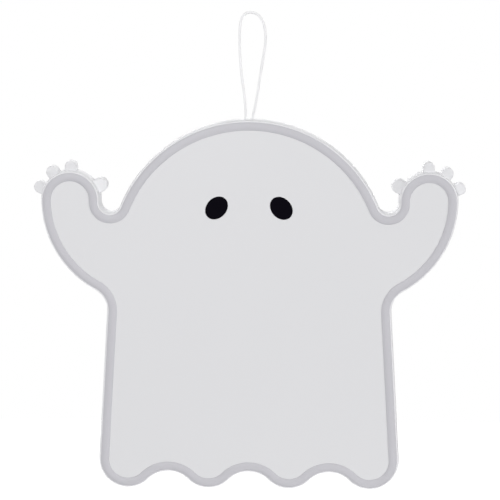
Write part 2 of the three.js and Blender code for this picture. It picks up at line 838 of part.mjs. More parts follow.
function stripLead(x) {
  const boardFoot = boardZ - boardHeight / 2;
  const endZ = hemZ(x);
  return wire(
    [
      [x, boardMidY, boardFoot - gap],
      [x, boardMidY, boardFoot - leadBend],
      [x, boardMidY, endZ + 2 * leadBend],
      [x, boardMidY - leadDip / 3, endZ + leadDip],
      [x, channelBackY, endZ],
      [x, stripBackY + gap, endZ],
    ],
    leadDiameter,
    14,
    6,
  );
}

// Hanging cord

function hangingLoop() {
  const route = loopRoute.map(([x, up]) => [x, 0, cordExitZ + up]);
  return wire(route, cordDiameter, loopSteps);
}

function cordKnot(x) {
  const radius = cordDiameter / 2;
  const top = caseTop - knotSink;
  const knotTop = caseTop - wall - gap;
  const profile = [[0, top], [radius, top], [radius, knotTop - knotNeck]];
  for (let i = 1; i <= knotSides; i += 1) {
    const angle = Math.PI / 2 - ((i + 0.5) * Math.PI) / (knotSides + 1);
    profile.push([knotRadius * Math.cos(angle), knotTop - knotRadius + knotRadius * Math.sin(angle)]);
  }
  profile.push([0, knotTop - 2 * knotRadius]);
  const geometry = turned(profile.reverse(), 10);
  geometry.rotateX(Math.PI / 2);
  geometry.translate(x, 0, 0);
  return toSolid(geometry);
}

// Assembly

const casing = new THREE.Group();
casing.position.z = datumZ;
const part = new THREE.Group();
part.add(casing);

function add(name, solid, material, parent = casing) {
  const mesh = new THREE.Mesh(toGeometry(solid), material);
  mesh.name = name;
  parent.add(mesh);
  return mesh;
}

add("front_housing", frontHousing(), materials.housing);
add("face_panel", facePanel(), materials.panel);
add("eye_left", eye(-1), materials.eye);
add("eye_right", eye(1), materials.eye);
add("diffuser_tube", diffuserTube(), materials.tube);
add("led_strip", ledStrip(), materials.strip);
add("back_cover", backCover(), materials.housing);
add("battery_door", batteryDoor(), materials.housing);
rows.forEach((row, i) => add(`battery_${i + 1}`, battery(row), materials.cell));
add("positive_contact", contact(-1, [rows[0]]), materials.contact);
add("bridge_contact_left", contact(-1, [rows[1], rows[2]]), materials.contact);
add("bridge_contact_right", contact(1, [rows[0], rows[1]]), materials.contact);
add("negative_contact", contact(1, [rows[2]]), materials.contact);
add("control_board", controlBoard(), materials.board);
add("switch_body", switchBody(), materials.switch);
add("switch_slider", switchSlider(), materials.switch);
postPlaces.forEach((x, i) => {
  const screw = add(`board_screw_${i + 1}`, screwSolid(boardScrew), materials.screw);
  screw.position.set(x, boardFrontY - seatGap, boardZ);
});
screws.forEach(({ x, z }, i) => {
  const screw = add(`cover_screw_${i + 1}`, screwSolid(coverScrew), materials.screw);
  screw.position.set(x, screwSeatY + seatGap, z);
  screw.rotation.x = Math.PI;
});
add("battery_lead_positive", batteryLead(-1, rows[0]), materials.redLead);
add("battery_lead_negative", batteryLead(1, rows[2]), materials.blackLead);
add("strip_lead_positive", stripLead(feedPlaces[0]), materials.redLead);
add("strip_lead_negative", stripLead(feedPlaces[1]), materials.blackLead);
add("cord_knot_left", cordKnot(cordHoles[0]), materials.cord);
add("cord_knot_right", cordKnot(cordHoles[1]), materials.cord);
add("hanging_loop", hangingLoop(), materials.cord, part);

export default part;
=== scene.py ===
from math import acos, atan2, ceil, cos, hypot, inf, pi, radians, sin, sqrt

import bmesh
import bpy
from mathutils import Matrix, Vector


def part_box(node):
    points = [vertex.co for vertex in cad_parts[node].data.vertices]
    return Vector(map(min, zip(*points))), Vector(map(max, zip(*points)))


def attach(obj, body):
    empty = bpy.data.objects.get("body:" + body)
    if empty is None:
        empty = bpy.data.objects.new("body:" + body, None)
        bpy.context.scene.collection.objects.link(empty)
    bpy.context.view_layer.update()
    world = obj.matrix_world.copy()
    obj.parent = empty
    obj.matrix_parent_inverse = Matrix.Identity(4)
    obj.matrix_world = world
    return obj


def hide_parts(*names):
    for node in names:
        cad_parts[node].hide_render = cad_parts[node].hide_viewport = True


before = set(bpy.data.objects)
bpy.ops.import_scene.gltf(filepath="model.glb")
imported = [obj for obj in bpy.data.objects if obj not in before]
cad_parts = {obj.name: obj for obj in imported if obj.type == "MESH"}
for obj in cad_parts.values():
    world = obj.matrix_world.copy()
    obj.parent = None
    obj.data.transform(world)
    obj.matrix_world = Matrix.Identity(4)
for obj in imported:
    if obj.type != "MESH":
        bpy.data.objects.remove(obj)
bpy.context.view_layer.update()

collection = bpy.context.scene.collection

# Pieces are shaped in millimetres about the centre of the head's arc, and put into the frame at the end
mm = 0.001
sliver = 0.003 * mm  # edges shorter than this are cleared after a cut
touch = 0.001  # points nearer than this are one
flush = 0.03  # added shapes stop this short of a face they would share
bite = 0.1  # and run this far into a wall
past = 1  # cutters run this far out of what they cut
headCentre = -174.2
toFrame = Matrix.Scale(mm, 4) @ Matrix.Translation((0, 0, headCentre))
cordExit = -74.2 - headCentre


# camera
cameraPlace = {
    "position": (40.65, -1275.0, 15.68),
    "aim": (0.83, -7.8, -167.01),
    "roll": 0.09,
    "lens": 129.6,
    "sensor": 36,
}


# Stands at a point and looks at another
def lookAt(position, aim):
    turn = (position - aim).to_track_quat("Z", "Y").to_matrix().to_4x4()
    return Matrix.Translation(position) @ turn


def makeCamera(place):
    data = bpy.data.cameras.new("camera")
    data.lens = place["lens"]
    data.sensor_width = place["sensor"]
    camera = bpy.data.objects.new("camera", data)
    collection.objects.link(camera)
    view = lookAt(Vector(place["position"]) * mm, Vector(place["aim"]) * mm)
    camera.matrix_world = view @ Matrix.Rotation(radians(place["roll"]), 4, "Z")
    bpy.context.scene.camera = camera


makeCamera(cameraPlace)
bpy.context.scene.view_settings.view_transform = "Standard"
print("camera placed")


# node helpers
def srgb(red, green, blue):
    def toLinear(value):
        share = value / 255
        return share / 12.92 if share <= 0.04045 else ((share + 0.055) / 1.055) ** 2.4

    return (toLinear(red), toLinear(green), toLinear(blue), 1)


def addNode(tree, kind, settings=(), inputs=()):
    node = tree.nodes.new(kind)
    for name, value in dict(settings).items():
        setattr(node, name, value)
    for name, value in dict(inputs).items():
        node.inputs[name].default_value = value
    return node


# A sum on numbers and on other nodes' outputs
def addMath(tree, operation, *values):
    node = addNode(tree, "ShaderNodeMath", {"operation": operation})
    for socket, value in zip(node.inputs, values):
        if isinstance(value, bpy.types.NodeSocket):
            tree.links.new(value, socket)
        else:
            socket.default_value = value
    return node.outputs[0]


def newGroup(name, inputs, outputs):
    group = bpy.data.node_groups.new(name, "ShaderNodeTree")
    for socketName, kind, value in inputs:
        socket = group.interface.new_socket(name=socketName, in_out="INPUT", socket_type=kind)
        if value is not None:
            socket.default_value = value
    for socketName, kind in outputs:
        group.interface.new_socket(name=socketName, in_out="OUTPUT", socket_type=kind)
    return group, group.nodes.new("NodeGroupInput"), group.nodes.new("NodeGroupOutput")


# Moulded plastic: a faint cloudiness in the colour, a fine spark-eroded grain and uneven gloss
def makeMouldedGroup():
    group, given, made = newGroup(
        "mouldedSurface",
        [
            ("Vector", "NodeSocketVector", None),
            ("Colour", "NodeSocketColor", (0.8, 0.8, 0.8, 1)),
            ("Clouding", "NodeSocketFloat", 0.02),
            ("Grain", "NodeSocketFloat", 2500.0),
            ("Depth", "NodeSocketFloat", 0.05),
            ("Roughness", "NodeSocketFloat", 0.4),
        ],
        [("Colour", "NodeSocketColor"), ("Roughness", "NodeSocketFloat"), ("Normal", "NodeSocketVector")],
    )
    link = group.links.new
    cloud = addNode(group, "ShaderNodeTexNoise", inputs={"Scale": 18.0, "Detail": 3.0, "Roughness": 0.5})
    grain = addNode(group, "ShaderNodeTexNoise", inputs={"Detail": 2.0, "Roughness": 0.6})
    gloss = addNode(group, "ShaderNodeTexNoise", inputs={"Scale": 90.0, "Detail": 2.0})
    for texture in (cloud, grain, gloss):
        link(given.outputs["Vector"], texture.inputs["Vector"])

    tint = addNode(group, "ShaderNodeVectorMath", {"operation": "SCALE"})
    centred = addMath(group, "SUBTRACT", cloud.outputs[0], 0.5)
    scaled = addMath(group, "MULTIPLY", centred, given.outputs["Clouding"])
    link(given.outputs["Colour"], tint.inputs[0])
    link(addMath(group, "ADD", scaled, 1.0), tint.inputs["Scale"])
    link(tint.outputs[0], made.inputs["Colour"])

    bump = addNode(group, "ShaderNodeBump", inputs={"Distance": 0.00003})
    link(given.outputs["Grain"], grain.inputs["Scale"])
    link(grain.outputs[0], bump.inputs["Height"])
    link(given.outputs["Depth"], bump.inputs["Strength"])
    link(bump.outputs[0], made.inputs["Normal"])

    uneven = addMath(group, "MULTIPLY", addMath(group, "SUBTRACT", gloss.outputs[0], 0.5), 0.12)
    link(addMath(group, "ADD", uneven, given.outputs["Roughness"]), made.inputs["Roughness"])
    return group


mouldedSurface = makeMouldedGroup()


# A material on the moulded group, with its own values
def plasticMaterial(name, finish):
    material = bpy.data.materials.new(name)
    material.use_nodes = True
    tree = material.node_tree
    shader = tree.nodes["Principled BSDF"]
    place = addNode(tree, "ShaderNodeTexCoord")
    surface = addNode(tree, "ShaderNodeGroup", {"node_tree": mouldedSurface})
    for socket in ("Colour", "Clouding", "Grain", "Depth", "Roughness"):
        if socket in finish:
            surface.inputs[socket].default_value = finish[socket]
    tree.links.new(place.outputs["Object"], surface.inputs["Vector"])
    tree.links.new(surface.outputs["Colour"], shader.inputs["Base Color"])
    tree.links.new(surface.outputs["Roughness"], shader.inputs["Roughness"])
    tree.links.new(surface.outputs["Normal"], shader.inputs["Normal"])
    for socket, value in finish.get("shader", {}).items():
        shader.inputs[socket].default_value = value
    return material


finishes = {
    "housing": {"Colour": srgb(231, 231, 233), "Clouding": 0.02, "Depth": 0.03, "Roughness": 0.5,
                "shader": {"Specular IOR Level": 0.08}},
    "panel": {"Colour": srgb(222, 222, 224), "Clouding": 0.012, "Depth": 0.03, "Roughness": 0.32,
              "shader": {"Specular IOR Level": 0.15}},
    "tube": {"Colour": srgb(197, 196, 201), "Clouding": 0.08, "Depth": 0.03, "Roughness": 0.45,
             "shader": {"Specular IOR Level": 0.2}},
    "eye": {"Colour": srgb(9, 7, 14), "Clouding": 0.1, "Depth": 0.05, "Roughness": 0.6,
            "shader": {"Specular IOR Level": 0.02}},
    "strip": {"Colour": srgb(244, 241, 230), "Roughness": 0.5},
    "board": {"Colour": srgb(40, 98, 62), "Clouding": 0.3, "Roughness": 0.45},
    "switch": {"Colour": srgb(40, 40, 44), "Roughness": 0.5},
    "cell": {"Colour": srgb(62, 66, 72), "Clouding": 0.1, "Roughness": 0.35},
    "band": {"Colour": srgb(196, 142, 60), "Clouding": 0.1, "Roughness": 0.3},
    "redLead": {"Colour": srgb(176, 36, 32), "Roughness": 0.45},
    "blackLead": {"Colour": srgb(26, 26, 28), "Roughness": 0.45},
    "cord": {"Colour": srgb(242, 242, 243), "Clouding": 0.04, "Grain": 6000.0, "Depth": 0.4,
             "Roughness": 0.8, "shader": {"Specular IOR Level": 0.05}},
    "steel": {"Colour": srgb(190, 191, 193), "Clouding": 0.1, "Roughness": 0.32,
              "shader": {"Metallic": 1.0}},
    "contact": {"Colour": srgb(205, 204, 198), "Clouding": 0.1, "Roughness": 0.3,
                "shader": {"Metallic": 1.0}},
}
materials = {name: plasticMaterial(name, finish) for name, finish in finishes.items()}
print("materials made")


# shaping helpers
def faceOut(bm):
    bmesh.ops.recalc_face_normals(bm, faces=bm.faces)


# Scales, turns and moves points, in that order
def arrange(bm, verts, scale=None, turn=None, move=None):
    if scale:
        bmesh.ops.scale(bm, vec=scale, verts=verts)
    if turn:
        bmesh.ops.rotate(bm, cent=(0, 0, 0), matrix=Matrix.Rotation(turn[0], 3, turn[1]), verts=verts)
    if move:
        bmesh.ops.translate(bm, vec=move, verts=verts)


def toPiece(bm, name, body, slot, replaced=(), material=None, sharp=35, place=toFrame):
    bmesh.ops.transform(bm, matrix=place, verts=bm.verts)
    mesh = bpy.data.meshes.new(name)
    bm.to_mesh(mesh)
    bm.free()
    piece = bpy.data.objects.new(name, mesh)
    collection.objects.link(piece)
    mesh.materials.append(materials[material or slot])
    smoothShade(mesh, sharp)
    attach(piece, body)
    if replaced:
        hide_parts(*replaced)
    return piece


def smoothShade(mesh, sharp):
    mesh.polygons.foreach_set("use_smooth", [True] * len(mesh.polygons))
    mesh.set_sharp_from_angle(angle=radians(sharp))


# Keeps wide flat faces flat beside their rounded edges
def weightNormals(piece):
    modifier = piece.modifiers.new("weightedNormals", "WEIGHTED_NORMAL")
    modifier.keep_sharp = True
    modifier.weight = 50


# Adds or cuts away another shape, and leaves a plain mesh
def combine(piece, other, operation, sharp=35):
    otherMesh = bpy.data.meshes.new("cutter")
    bmesh.ops.transform(other, matrix=toFrame, verts=other.verts)
    faceOut(other)
    other.to_mesh(otherMesh)
    other.free()
    cutter = bpy.data.objects.new("cutter", otherMesh)
    collection.objects.link(cutter)
    modifier = piece.modifiers.new("combine", "BOOLEAN")
    modifier.operation = operation
    modifier.solver = "EXACT"
    modifier.object = cutter
    bpy.context.view_layer.update()
    graph = bpy.context.evaluated_depsgraph_get()
    mesh = bpy.data.meshes.new_from_object(piece.evaluated_get(graph))
    piece.modifiers.clear()
    piece.data = mesh
    bpy.data.objects.remove(cutter)
    smoothShade(mesh, sharp)


# Rounds the chosen edges or corners
def roundOff(bm, chosen, rounding, segments=3, affect="EDGES"):
    bmesh.ops.bevel(
        bm, geom=chosen, offset=rounding, offset_type="OFFSET", segments=segments, profile=0.5,
        affect=affect, material=-1,
    )


# A block between two depths, with its upright and its front or back edges rounded
def addBlock(bm, x, z, length, height, y0, y1, corner=0.0, edge=0.0, edgeAt=None):
    made = bmesh.ops.create_grid(bm, x_segments=1, y_segments=1, size=0.5)["verts"]
    arrange(bm, made, (length, height, 1), (pi / 2, "X"), (x, y0, z))
    face = made[0].link_faces[0]
    if corner:
        before = set(bm.faces)
        roundOff(bm, made, corner, 4, "VERTICES")
        face = next(f for f in bm.faces if f not in before or f == face)
    return liftFace(bm, face, (0, y1 - y0, 0), edge, edgeAt)


def newBlock(*sizes):
    return addBlock(bmesh.new(), *sizes)


# Extrudes a face to a closed solid, and rounds the edges at its first or last end
def liftFace(bm, face, travel, edge=0.0, edgeAt=None, segments=3):
    start = list(face.edges)
    made = bmesh.ops.extrude_face_region(bm, geom=[face], use_keep_orig=True)["geom"]
    verts = [item for item in made if isinstance(item, bmesh.types.BMVert)]
    end = [item for item in made if isinstance(item, bmesh.types.BMEdge)]
    bmesh.ops.translate(bm, vec=travel, verts=verts)
    if edge:
        chosen = {"start": start, "end": end, "both": start + end}[edgeAt]
        roundOff(bm, chosen, edge, segments)
    return bm


# A round bar from one point to another
def addBar(bm, start, end, radius, endRadius=None, sides=32):
    start, end = Vector(start), Vector(end)
    along = end - start
    turn = along.to_track_quat("Z", "Y").to_matrix().to_4x4()
    place = Matrix.Translation((start + end) / 2) @ turn
    bmesh.ops.create_cone(
        bm, cap_ends=True, segments=sides, radius1=radius, radius2=radius if endRadius is None else endRadius,
        depth=along.length, matrix=place,
    )
    return bm


# Turns points on a line round an axis into a closed solid
def turnPoints(points, axis, steps):
    bm = bmesh.new()
    verts = [bm.verts.new(point) for point in points]
    for a, b in zip(verts, verts[1:]):
        bm.edges.new((a, b))
    bmesh.ops.spin(
        bm, geom=bm.verts[:] + bm.edges[:], cent=(0, 0, 0), axis=axis, dvec=(0, 0, 0), angle=2 * pi,
        steps=steps, use_merge=True, use_duplicate=False,
    )
    bmesh.ops.remove_doubles(bm, verts=bm.verts, dist=touch)
    return bm


# Puts a finished shape into another mesh
def addShape(bm, shape):
    faceOut(shape)
    mesh = bpy.data.meshes.new("shape")
    shape.to_mesh(mesh)
    shape.free()
    bm.from_mesh(mesh)
    bpy.data.meshes.remove(mesh)


# outline of the ghost, on the centre line of the light tube
outline = {
    "headRadius": 95.1,
    "handOut": 32.4,
    "handZ": 42,
    "handRadius": 16.6,
    "notchRadius": 11.9,
    "armRadius": 69.7,
    "armpitRadius": 20.7,
    "sideSlant": 3.55,
    "hemLobes": 4,
    "hemPitch": 58.4,
    "lobeRadius": 16.7,
    "hemWave": 12.2,
    "skirtDrop": 163.5,
    "chordError": 0.015,
    "sideSteps": 4,
    "screwsOut": -8.15,
    "headScrew": 52,
    "handScrew": 60,
    "lobeScrew": -60,
}


# The arcs of the right half from the top of the head down to the middle of the hem. Each has its
# centre, its radius and how far it turns; an arc with no radius is the straight side.
def findArcs(shape):
    head = (0, 0, shape["headRadius"])
    handX = shape["headRadius"] + shape["handOut"]
    hand = (handX, shape["handZ"], shape["handRadius"])
    arm = (handX + shape["handRadius"] - shape["armRadius"], shape["handZ"], shape["armRadius"])
    lobe = shape["lobeRadius"]
    lobeZ = lobe - shape["skirtDrop"]
    corner = ((shape["hemLobes"] - 1) / 2 * shape["hemPitch"], lobeZ, lobe)

    # the notch touches the head and the hand from above
    notchRadius = shape["notchRadius"]
    span = hypot(hand[0], hand[1])
    reachHead, reachHand = head[2] + notchRadius, hand[2] + notchRadius
    along = (span**2 + reachHead**2 - reachHand**2) / (2 * span)
    across = sqrt(reachHead**2 - along**2)
    ux, uz = hand[0] / span, hand[1] / span
    notch = (along * ux - across * uz, along * uz + across * ux, notchRadius)

    # the armpit touches the arm and the straight side
    slant = radians(shape["sideSlant"])
    normal, up = (cos(slant), sin(slant)), (-sin(slant), cos(slant))
    pit = shape["armpitRadius"]
    startX, startZ = corner[0] + (lobe + pit) * normal[0], corner[1] + (lobe + pit) * normal[1]
    toX, toZ = startX - arm[0], startZ - arm[1]
    slide = toX * up[0] + toZ * up[1]
    climb = -slide - sqrt(slide**2 - (toX**2 + toZ**2 - (arm[2] + pit) ** 2))
    armpit = (startX + climb * up[0], startZ + climb * up[1], pit)

    # the hem's lobes and valleys touch each other
    halfPitch = shape["hemPitch"] / 2
    valleyRadius = (halfPitch**2 + shape["hemWave"] ** 2) / (2 * shape["hemWave"]) - lobe
    valleyZ = shape["hemWave"] - shape["skirtDrop"] - valleyRadius
    toValley = atan2(valleyZ - lobeZ, -halfPitch)
    toLobe = -pi - toValley

    notchTurn = atan2(notch[1], notch[0])
    handTurn = atan2(notch[1] - hand[1], notch[0] - hand[0]) % (2 * pi)
    armTurn = atan2(armpit[1] - arm[1], armpit[0] - arm[0])
    arcs = [
        (head, pi / 2 - notchTurn),
        (notch, notchTurn - handTurn),
        (hand, handTurn),
        (arm, -armTurn),
        (armpit, armTurn - slant),
        ((-climb * up[0], -climb * up[1], 0), 0),
        (corner, slant - toValley),
    ]
    x, valley = corner[0] - halfPitch, True
    while x > -1:
        start, end = (toValley, toLobe) if valley else (toLobe, toValley)
        if x < 1:
            end = -pi / 2
        arcs.append(((x, valleyZ if valley else lobeZ, valleyRadius if valley else lobe), start - end))
        x, valley = x - halfPitch, not valley

    # screws stand at the head, the hand, the straight side and the corner lobe
    sideZ = (armpit[1] + corner[1]) / 2
    sideX = corner[0] + (lobe - (sideZ - corner[1]) * sin(slant)) / cos(slant)
    screws = [(sideX + shape["screwsOut"], sideZ)]
    for circle, name in ((head, "headScrew"), (hand, "handScrew"), (corner, "lobeScrew")):
        reach, angle = circle[2] + shape["screwsOut"], radians(shape[name])
        screws.append((circle[0] + reach * cos(angle), circle[1] + reach * sin(angle)))
    return {"arcs": arcs, "hand": hand, "valley": (valleyZ, valleyRadius), "screws": screws}


found = findArcs(outline)


# Carries a section that stands at the top of the head once round the ghost
def sweepOutline(bm, section):
    travelling = section
    for (x, z, radius), turn in found["arcs"]:
        if radius:
            steps = ceil(abs(turn) / (2 * acos(1 - outline["chordError"] / radius)))
            centre, drift = (x, 0, z), (0, 0, 0)
        else:
            steps = outline["sideSteps"]
            centre, drift = (0, 0, 0), (x / steps, 0, z / steps)
        spun = bmesh.ops.spin(
            bm, geom=travelling, cent=centre, axis=(0, 1, 0), dvec=drift, angle=turn, steps=steps,
            use_merge=False, use_duplicate=False,
        )
        travelling = spun["geom_last"]
    for vert in bm.verts:
        if abs(vert.co.x) < 2 * touch:
            vert.co.x = 0
    bmesh.ops.mirror(bm, geom=bm.verts[:] + bm.edges[:] + bm.faces[:], axis="X", merge_dist=touch)
    bmesh.ops.remove_doubles(bm, verts=bm.verts, dist=2 * touch)
    faceOut(bm)


# A section of corners (distance outwards from the tube's centre line, depth, rounding)
def addSection(bm, corners, closed=True):
    top = outline["headRadius"]
    verts = [bm.verts.new((0, y, top + out)) for out, y, _ in corners]
    for a, b in zip(verts, verts[1:] + verts[:1] if closed else verts[1:]):
        bm.edges.new((a, b))
    for rounding in sorted({corner[2] for corner in corners if corner[2]}):
        chosen = [vert for vert, corner in zip(verts, corners) if corner[2] == rounding]
        roundOff(bm, chosen, rounding, 3, "VERTICES")
    return bm.verts[:] + bm.edges[:]


def ringMesh(corners, closed=True):
    bm = bmesh.new()
    sweepOutline(bm, addSection(bm, corners, closed))
    return bm


# levels through the depth and distances from the tube's centre line, as in the solids
levels = {
    "front": -7.4,
    "panelBack": -5.4,
    "ledge": -5.1,
    "channel": -3.3,
    "channelBack": -2.3,
    "housingBack": 3.0,
    "parting": 3.3,
    "screwSeat": 5.2,
    "coverInside": 6.8,
    "door": 7.0,
    "back": 8.6,
}
edges = {"channel": 2.95, "lip": 3.75, "case": 4.6, "wall": 3.0, "ledge": -5.95}

# the screws that hold the halves together, and the bosses they run into
screwSpec = {
    "head": 5, "headDepth": 1.5, "shank": 2.6, "length": 8, "fit": 0.3, "seatGap": 0.1, "boss": 3.8,
    "rimEdge": 0.15, "pitch": 1.1, "thread": 0.3, "threadEnd": 1.6, "tip": 1.2, "point": 0.15, "turn": 37,
    "crossLength": 2.9, "crossWidth": 0.75, "crossDepth": 0.9, "crossTaper": 0.45,
}


def clearSlivers(bm):
    bmesh.ops.remove_doubles(bm, verts=bm.verts, dist=sliver)
    bmesh.ops.dissolve_degenerate(bm, edges=bm.edges, dist=sliver)


# Clears the slivers that cutting leaves, and rounds the sharp edges that lie behind a depth
def softenRims(piece, behind=inf, rounding=0.0):
    bm = bmesh.new()
    bm.from_mesh(piece.data)
    clearSlivers(bm)
    rims = [edge for edge in bm.edges
            if edge.calc_face_angle(0) > 1 and min(vert.co.y for vert in edge.verts) > behind]
    if rims:
        roundOff(bm, rims, rounding, 2)
        clearSlivers(bm)
    bm.to_mesh(piece.data)
    bm.free()
    smoothShade(piece.data, 35)


def screwBars(radius, y0, y1):
    bm = bmesh.new()
    for x, z in found["screws"]:
        for side in (-1, 1):
            addBar(bm, (side * x, y0, z), (side * x, y1, z), radius)
    return bm


# the leads' sizes, their holes in the channel and where they meet the board and the strip
leadSpec = {
    "diameter": 1.4, "fit": 0.4, "feedX": [3.5, 6.5], "bend": 4, "dip": 1.5, "runOut": 3, "solder": 0.3,
    "boardZ": -103, "boardHalf": 18.5, "boardFoot": -112, "boardY": 1.4, "stripY": -3.1,
    "pointSpacing": 0.6, "sectionPoints": 14,
}


# Where the strip's leads pass through the channel, in the valley at the middle of the hem
def leadEnds():
    z, radius = found["valley"]
    return [(x, z + sqrt(radius**2 - x**2)) for x in leadSpec["feedX"]]


# hanging cord
cordSpec = {
    "diameter": 1.8,
    "holeSpacing": 5.2,
    "strands": 3,
    "strandDepth": 0.1,
    "twistLength": 6.5,
    "sectionPoints": 24,
    "pointSpacing": 0.42,
    "knotDrop": 2.6,
    "knotTurns": 2,
    "knotRadius": 1.0,
    "knotPitch": 1.2,
    "knotTail": 1.5,
    "knotLead": 0.5,
    "knotSteps": 8,
    "stub": 1,
    "route": [
        (-2.6, 0), (-2.6, 3), (-3.1, 12), (-4, 20), (-5.2, 28), (-6.2, 37), (-6.8, 48), (-6.9, 59),
        (-6.2, 67.8), (-4.2, 72.7), (0.3, 74.8), (4.6, 73.8), (8.1, 70.7), (10.4, 65), (11.3, 57.3),
        (10.6, 48.7), (8.6, 36.8), (6.8, 25), (5.2, 15), (3.4, 6), (2.6, 2.6), (2.6, 0),
    ],
}


# Points at even steps along a smooth line through the route
def smoothLine(route, spacing, parts=40):
    points = [Vector(point) for point in route]
    points = [2 * points[0] - points[1]] + points + [2 * points[-1] - points[-2]]
    fine = []
    for p0, p1, p2, p3 in zip(points, points[1:], points[2:], points[3:]):
        t1 = (p1 - p0).length ** 0.5
        t2 = t1 + (p2 - p1).length ** 0.5
        t3 = t2 + (p3 - p2).length ** 0.5
        for i in range(parts):
            t = t1 + (t2 - t1) * i / parts
            a1 = p0.lerp(p1, t / t1)
            a2 = p1.lerp(p2, (t - t1) / (t2 - t1))
            a3 = p2.lerp(p3, (t - t2) / (t3 - t2))
            b1 = a1.lerp(a2, t / t2)
            b2 = a2.lerp(a3, (t - t1) / (t3 - t1))
            fine.append(b1.lerp(b2, (t - t1) / (t2 - t1)))
    fine.append(points[-2])
    length = sum((b - a).length for a, b in zip(fine, fine[1:]))
    count = max(2, round(length / spacing))
    step, travelled, line = length / count, 0.0, [fine[0]]
    for a, b in zip(fine, fine[1:]):
        stretch = (b - a).length
        while len(line) < count and travelled + stretch >= step * len(line):
            line.append(a.lerp(b, (step * len(line) - travelled) / stretch))
        travelled += stretch
    line.append(fine[-1])
    return line, length


# A round section without strands, for wires and leads
def plainSection(diameter, points):
    plain = {"strands": 0, "strandDepth": 0, "twistLength": 1000}
    return {"diameter": diameter, "sectionPoints": points, **plain}


# A tube along a line, with a section of lobes that turns as strands do
def strandMesh(line, spec):
    bm = bmesh.new()
    profile = bpy.data.curves.new("section", "CURVE")
    profile.dimensions = "2D"
    ring = profile.splines.new("POLY")
    ring.points.add(spec["sectionPoints"] - 1)
    ring.use_cyclic_u = True
    for i, point in enumerate(ring.points):
        angle = 2 * pi * i / spec["sectionPoints"]
        lobe = abs(cos(spec["strands"] * angle / 2))
        radius = spec["diameter"] / 2 - spec["strandDepth"] * (1 - lobe**0.7)
        point.co = (radius * cos(angle), radius * sin(angle), 0, 1)
    profileObject = bpy.data.objects.new("section", profile)
    collection.objects.link(profileObject)
    curve = bpy.data.curves.new("strand", "CURVE")
    curve.dimensions = "3D"
    curve.bevel_mode = "OBJECT"
    curve.bevel_object = profileObject
    curve.use_fill_caps = True
    spline = curve.splines.new("POLY")
    spline.points.add(len(line) - 1)
    travelled = 0.0
    for i, point in enumerate(spline.points):
        if i:
            travelled += (line[i] - line[i - 1]).length
        point.co = (*line[i], 1)
        point.tilt = 2 * pi * travelled / spec["twistLength"]
    curveObject = bpy.data.objects.new("strand", curve)
    collection.objects.link(curveObject)
    bpy.context.view_layer.update()
    graph = bpy.context.evaluated_depsgraph_get()
    evaluated = curveObject.evaluated_get(graph)
    bm.from_mesh(evaluated.to_mesh())
    evaluated.to_mesh_clear()
    bmesh.ops.remove_doubles(bm, verts=bm.verts, dist=1e-4)
    faceOut(bm)
    bpy.data.objects.remove(curveObject)
    bpy.data.objects.remove(profileObject)
    return bm


# The free loop, and a stub of it in each hole that ends in a knot of two turns behind the wall
def makeCord(spec):
    route = [(x, 0, cordExit + up) for x, up in spec["route"]]
    line, length = smoothLine(route, spec["pointSpacing"])
    loop = toPiece(strandMesh(line, spec), "cordLoop", "loop", "cord", ["hanging_loop"], sharp=80)
    start, steps, radius = cordExit - spec["knotDrop"], spec["knotSteps"], spec["knotRadius"]
    for side, name in ((-1, "Left"), (1, "Right")):
        x = side * spec["holeSpacing"] / 2
        path = [(x, 0, cordExit), (x, 0, cordExit - spec["stub"]), (x, 0, start + spec["knotLead"])]
        for i in range(steps * spec["knotTurns"] + 1):
            angle = 2 * pi * i / steps
            z = start - spec["knotPitch"] * i / steps
            path.append((x + side * radius * sin(angle), radius * (cos(angle) - 1) / 2, z))
        path.append((x, 0, path[-1][2] - spec["knotTail"]))
        stub, _ = smoothLine(path, spec["pointSpacing"])
        piece = toPiece(strandMesh(stub, spec), "cordKnot" + name, "casing", "cord",
                        ["cord_knot_" + name.lower()], sharp=80)
    print("cord loop and knots made, the loop", round(length, 1), "mm long")


makeCord(cordSpec)

# fingers and thumb
fingerSpec = {
    "ring": 23.7,
    "radius": 4.2,
    "thumbRadius": 5.0,
    "root": 20.3,
    "angles": [22, 56.3, 90.6],
    "thumbAngle": 153.5,
    "face": -3.2,
    "frontEdge": 1.0,
    "backEdge": 0.6,
}


# Round-ended stubs whose roots end inside the hand's wall
def fingersMesh(spec, y0, y1, edge, edgeAt):
    bm = bmesh.new()
    handX, handZ, _ = found["hand"]
    digits = [(angle, spec["radius"]) for angle in spec["angles"]]
    digits.append((spec["thumbAngle"], spec["thumbRadius"]))
    for angle, radius in digits:
        for side in (-1, 1):
            stub = bmesh.new()
            verts = bmesh.ops.create_grid(stub, x_segments=1, y_segments=1, size=0.5)["verts"]
            reach = spec["ring"] + radius - spec["root"]
            arrange(stub, verts, scale=(reach, 2 * radius, 1), move=(spec["root"] + reach / 2, 0, 0))
            ends = [vert for vert in stub.verts if vert.co.x > spec["ring"]]
            roundOff(stub, ends, radius - 0.01, 12, "VERTICES")  # the two corners meet when merged
            bmesh.ops.remove_doubles(stub, verts=stub.verts, dist=0.05)
            arrange(stub, stub.verts, turn=(pi / 2, "X"), move=(0, y0, 0))
            liftFace(stub, stub.faces[:][0], (0, y1 - y0, 0), edge, edgeAt, 4)
            turn = Matrix.Rotation(-radians(angle), 4, "Y")
            place = Matrix.Translation((handX, 0, handZ)) @ turn
            bmesh.ops.transform(stub, matrix=place, verts=stub.verts)
            arrange(stub, stub.verts, scale=(side, 1, 1))
            addShape(bm, stub)
    return bm


# front housing
housingSpec = {
    "lipRounding": 0.3,
    "channelRounding": 0.06,
    "shoulderDepth": 5.5,
    "shoulderRounding": 1.2,
    "seamRounding": 0.2,
    "holeRadius": 1.4,
    "holeDepth": 3,
}


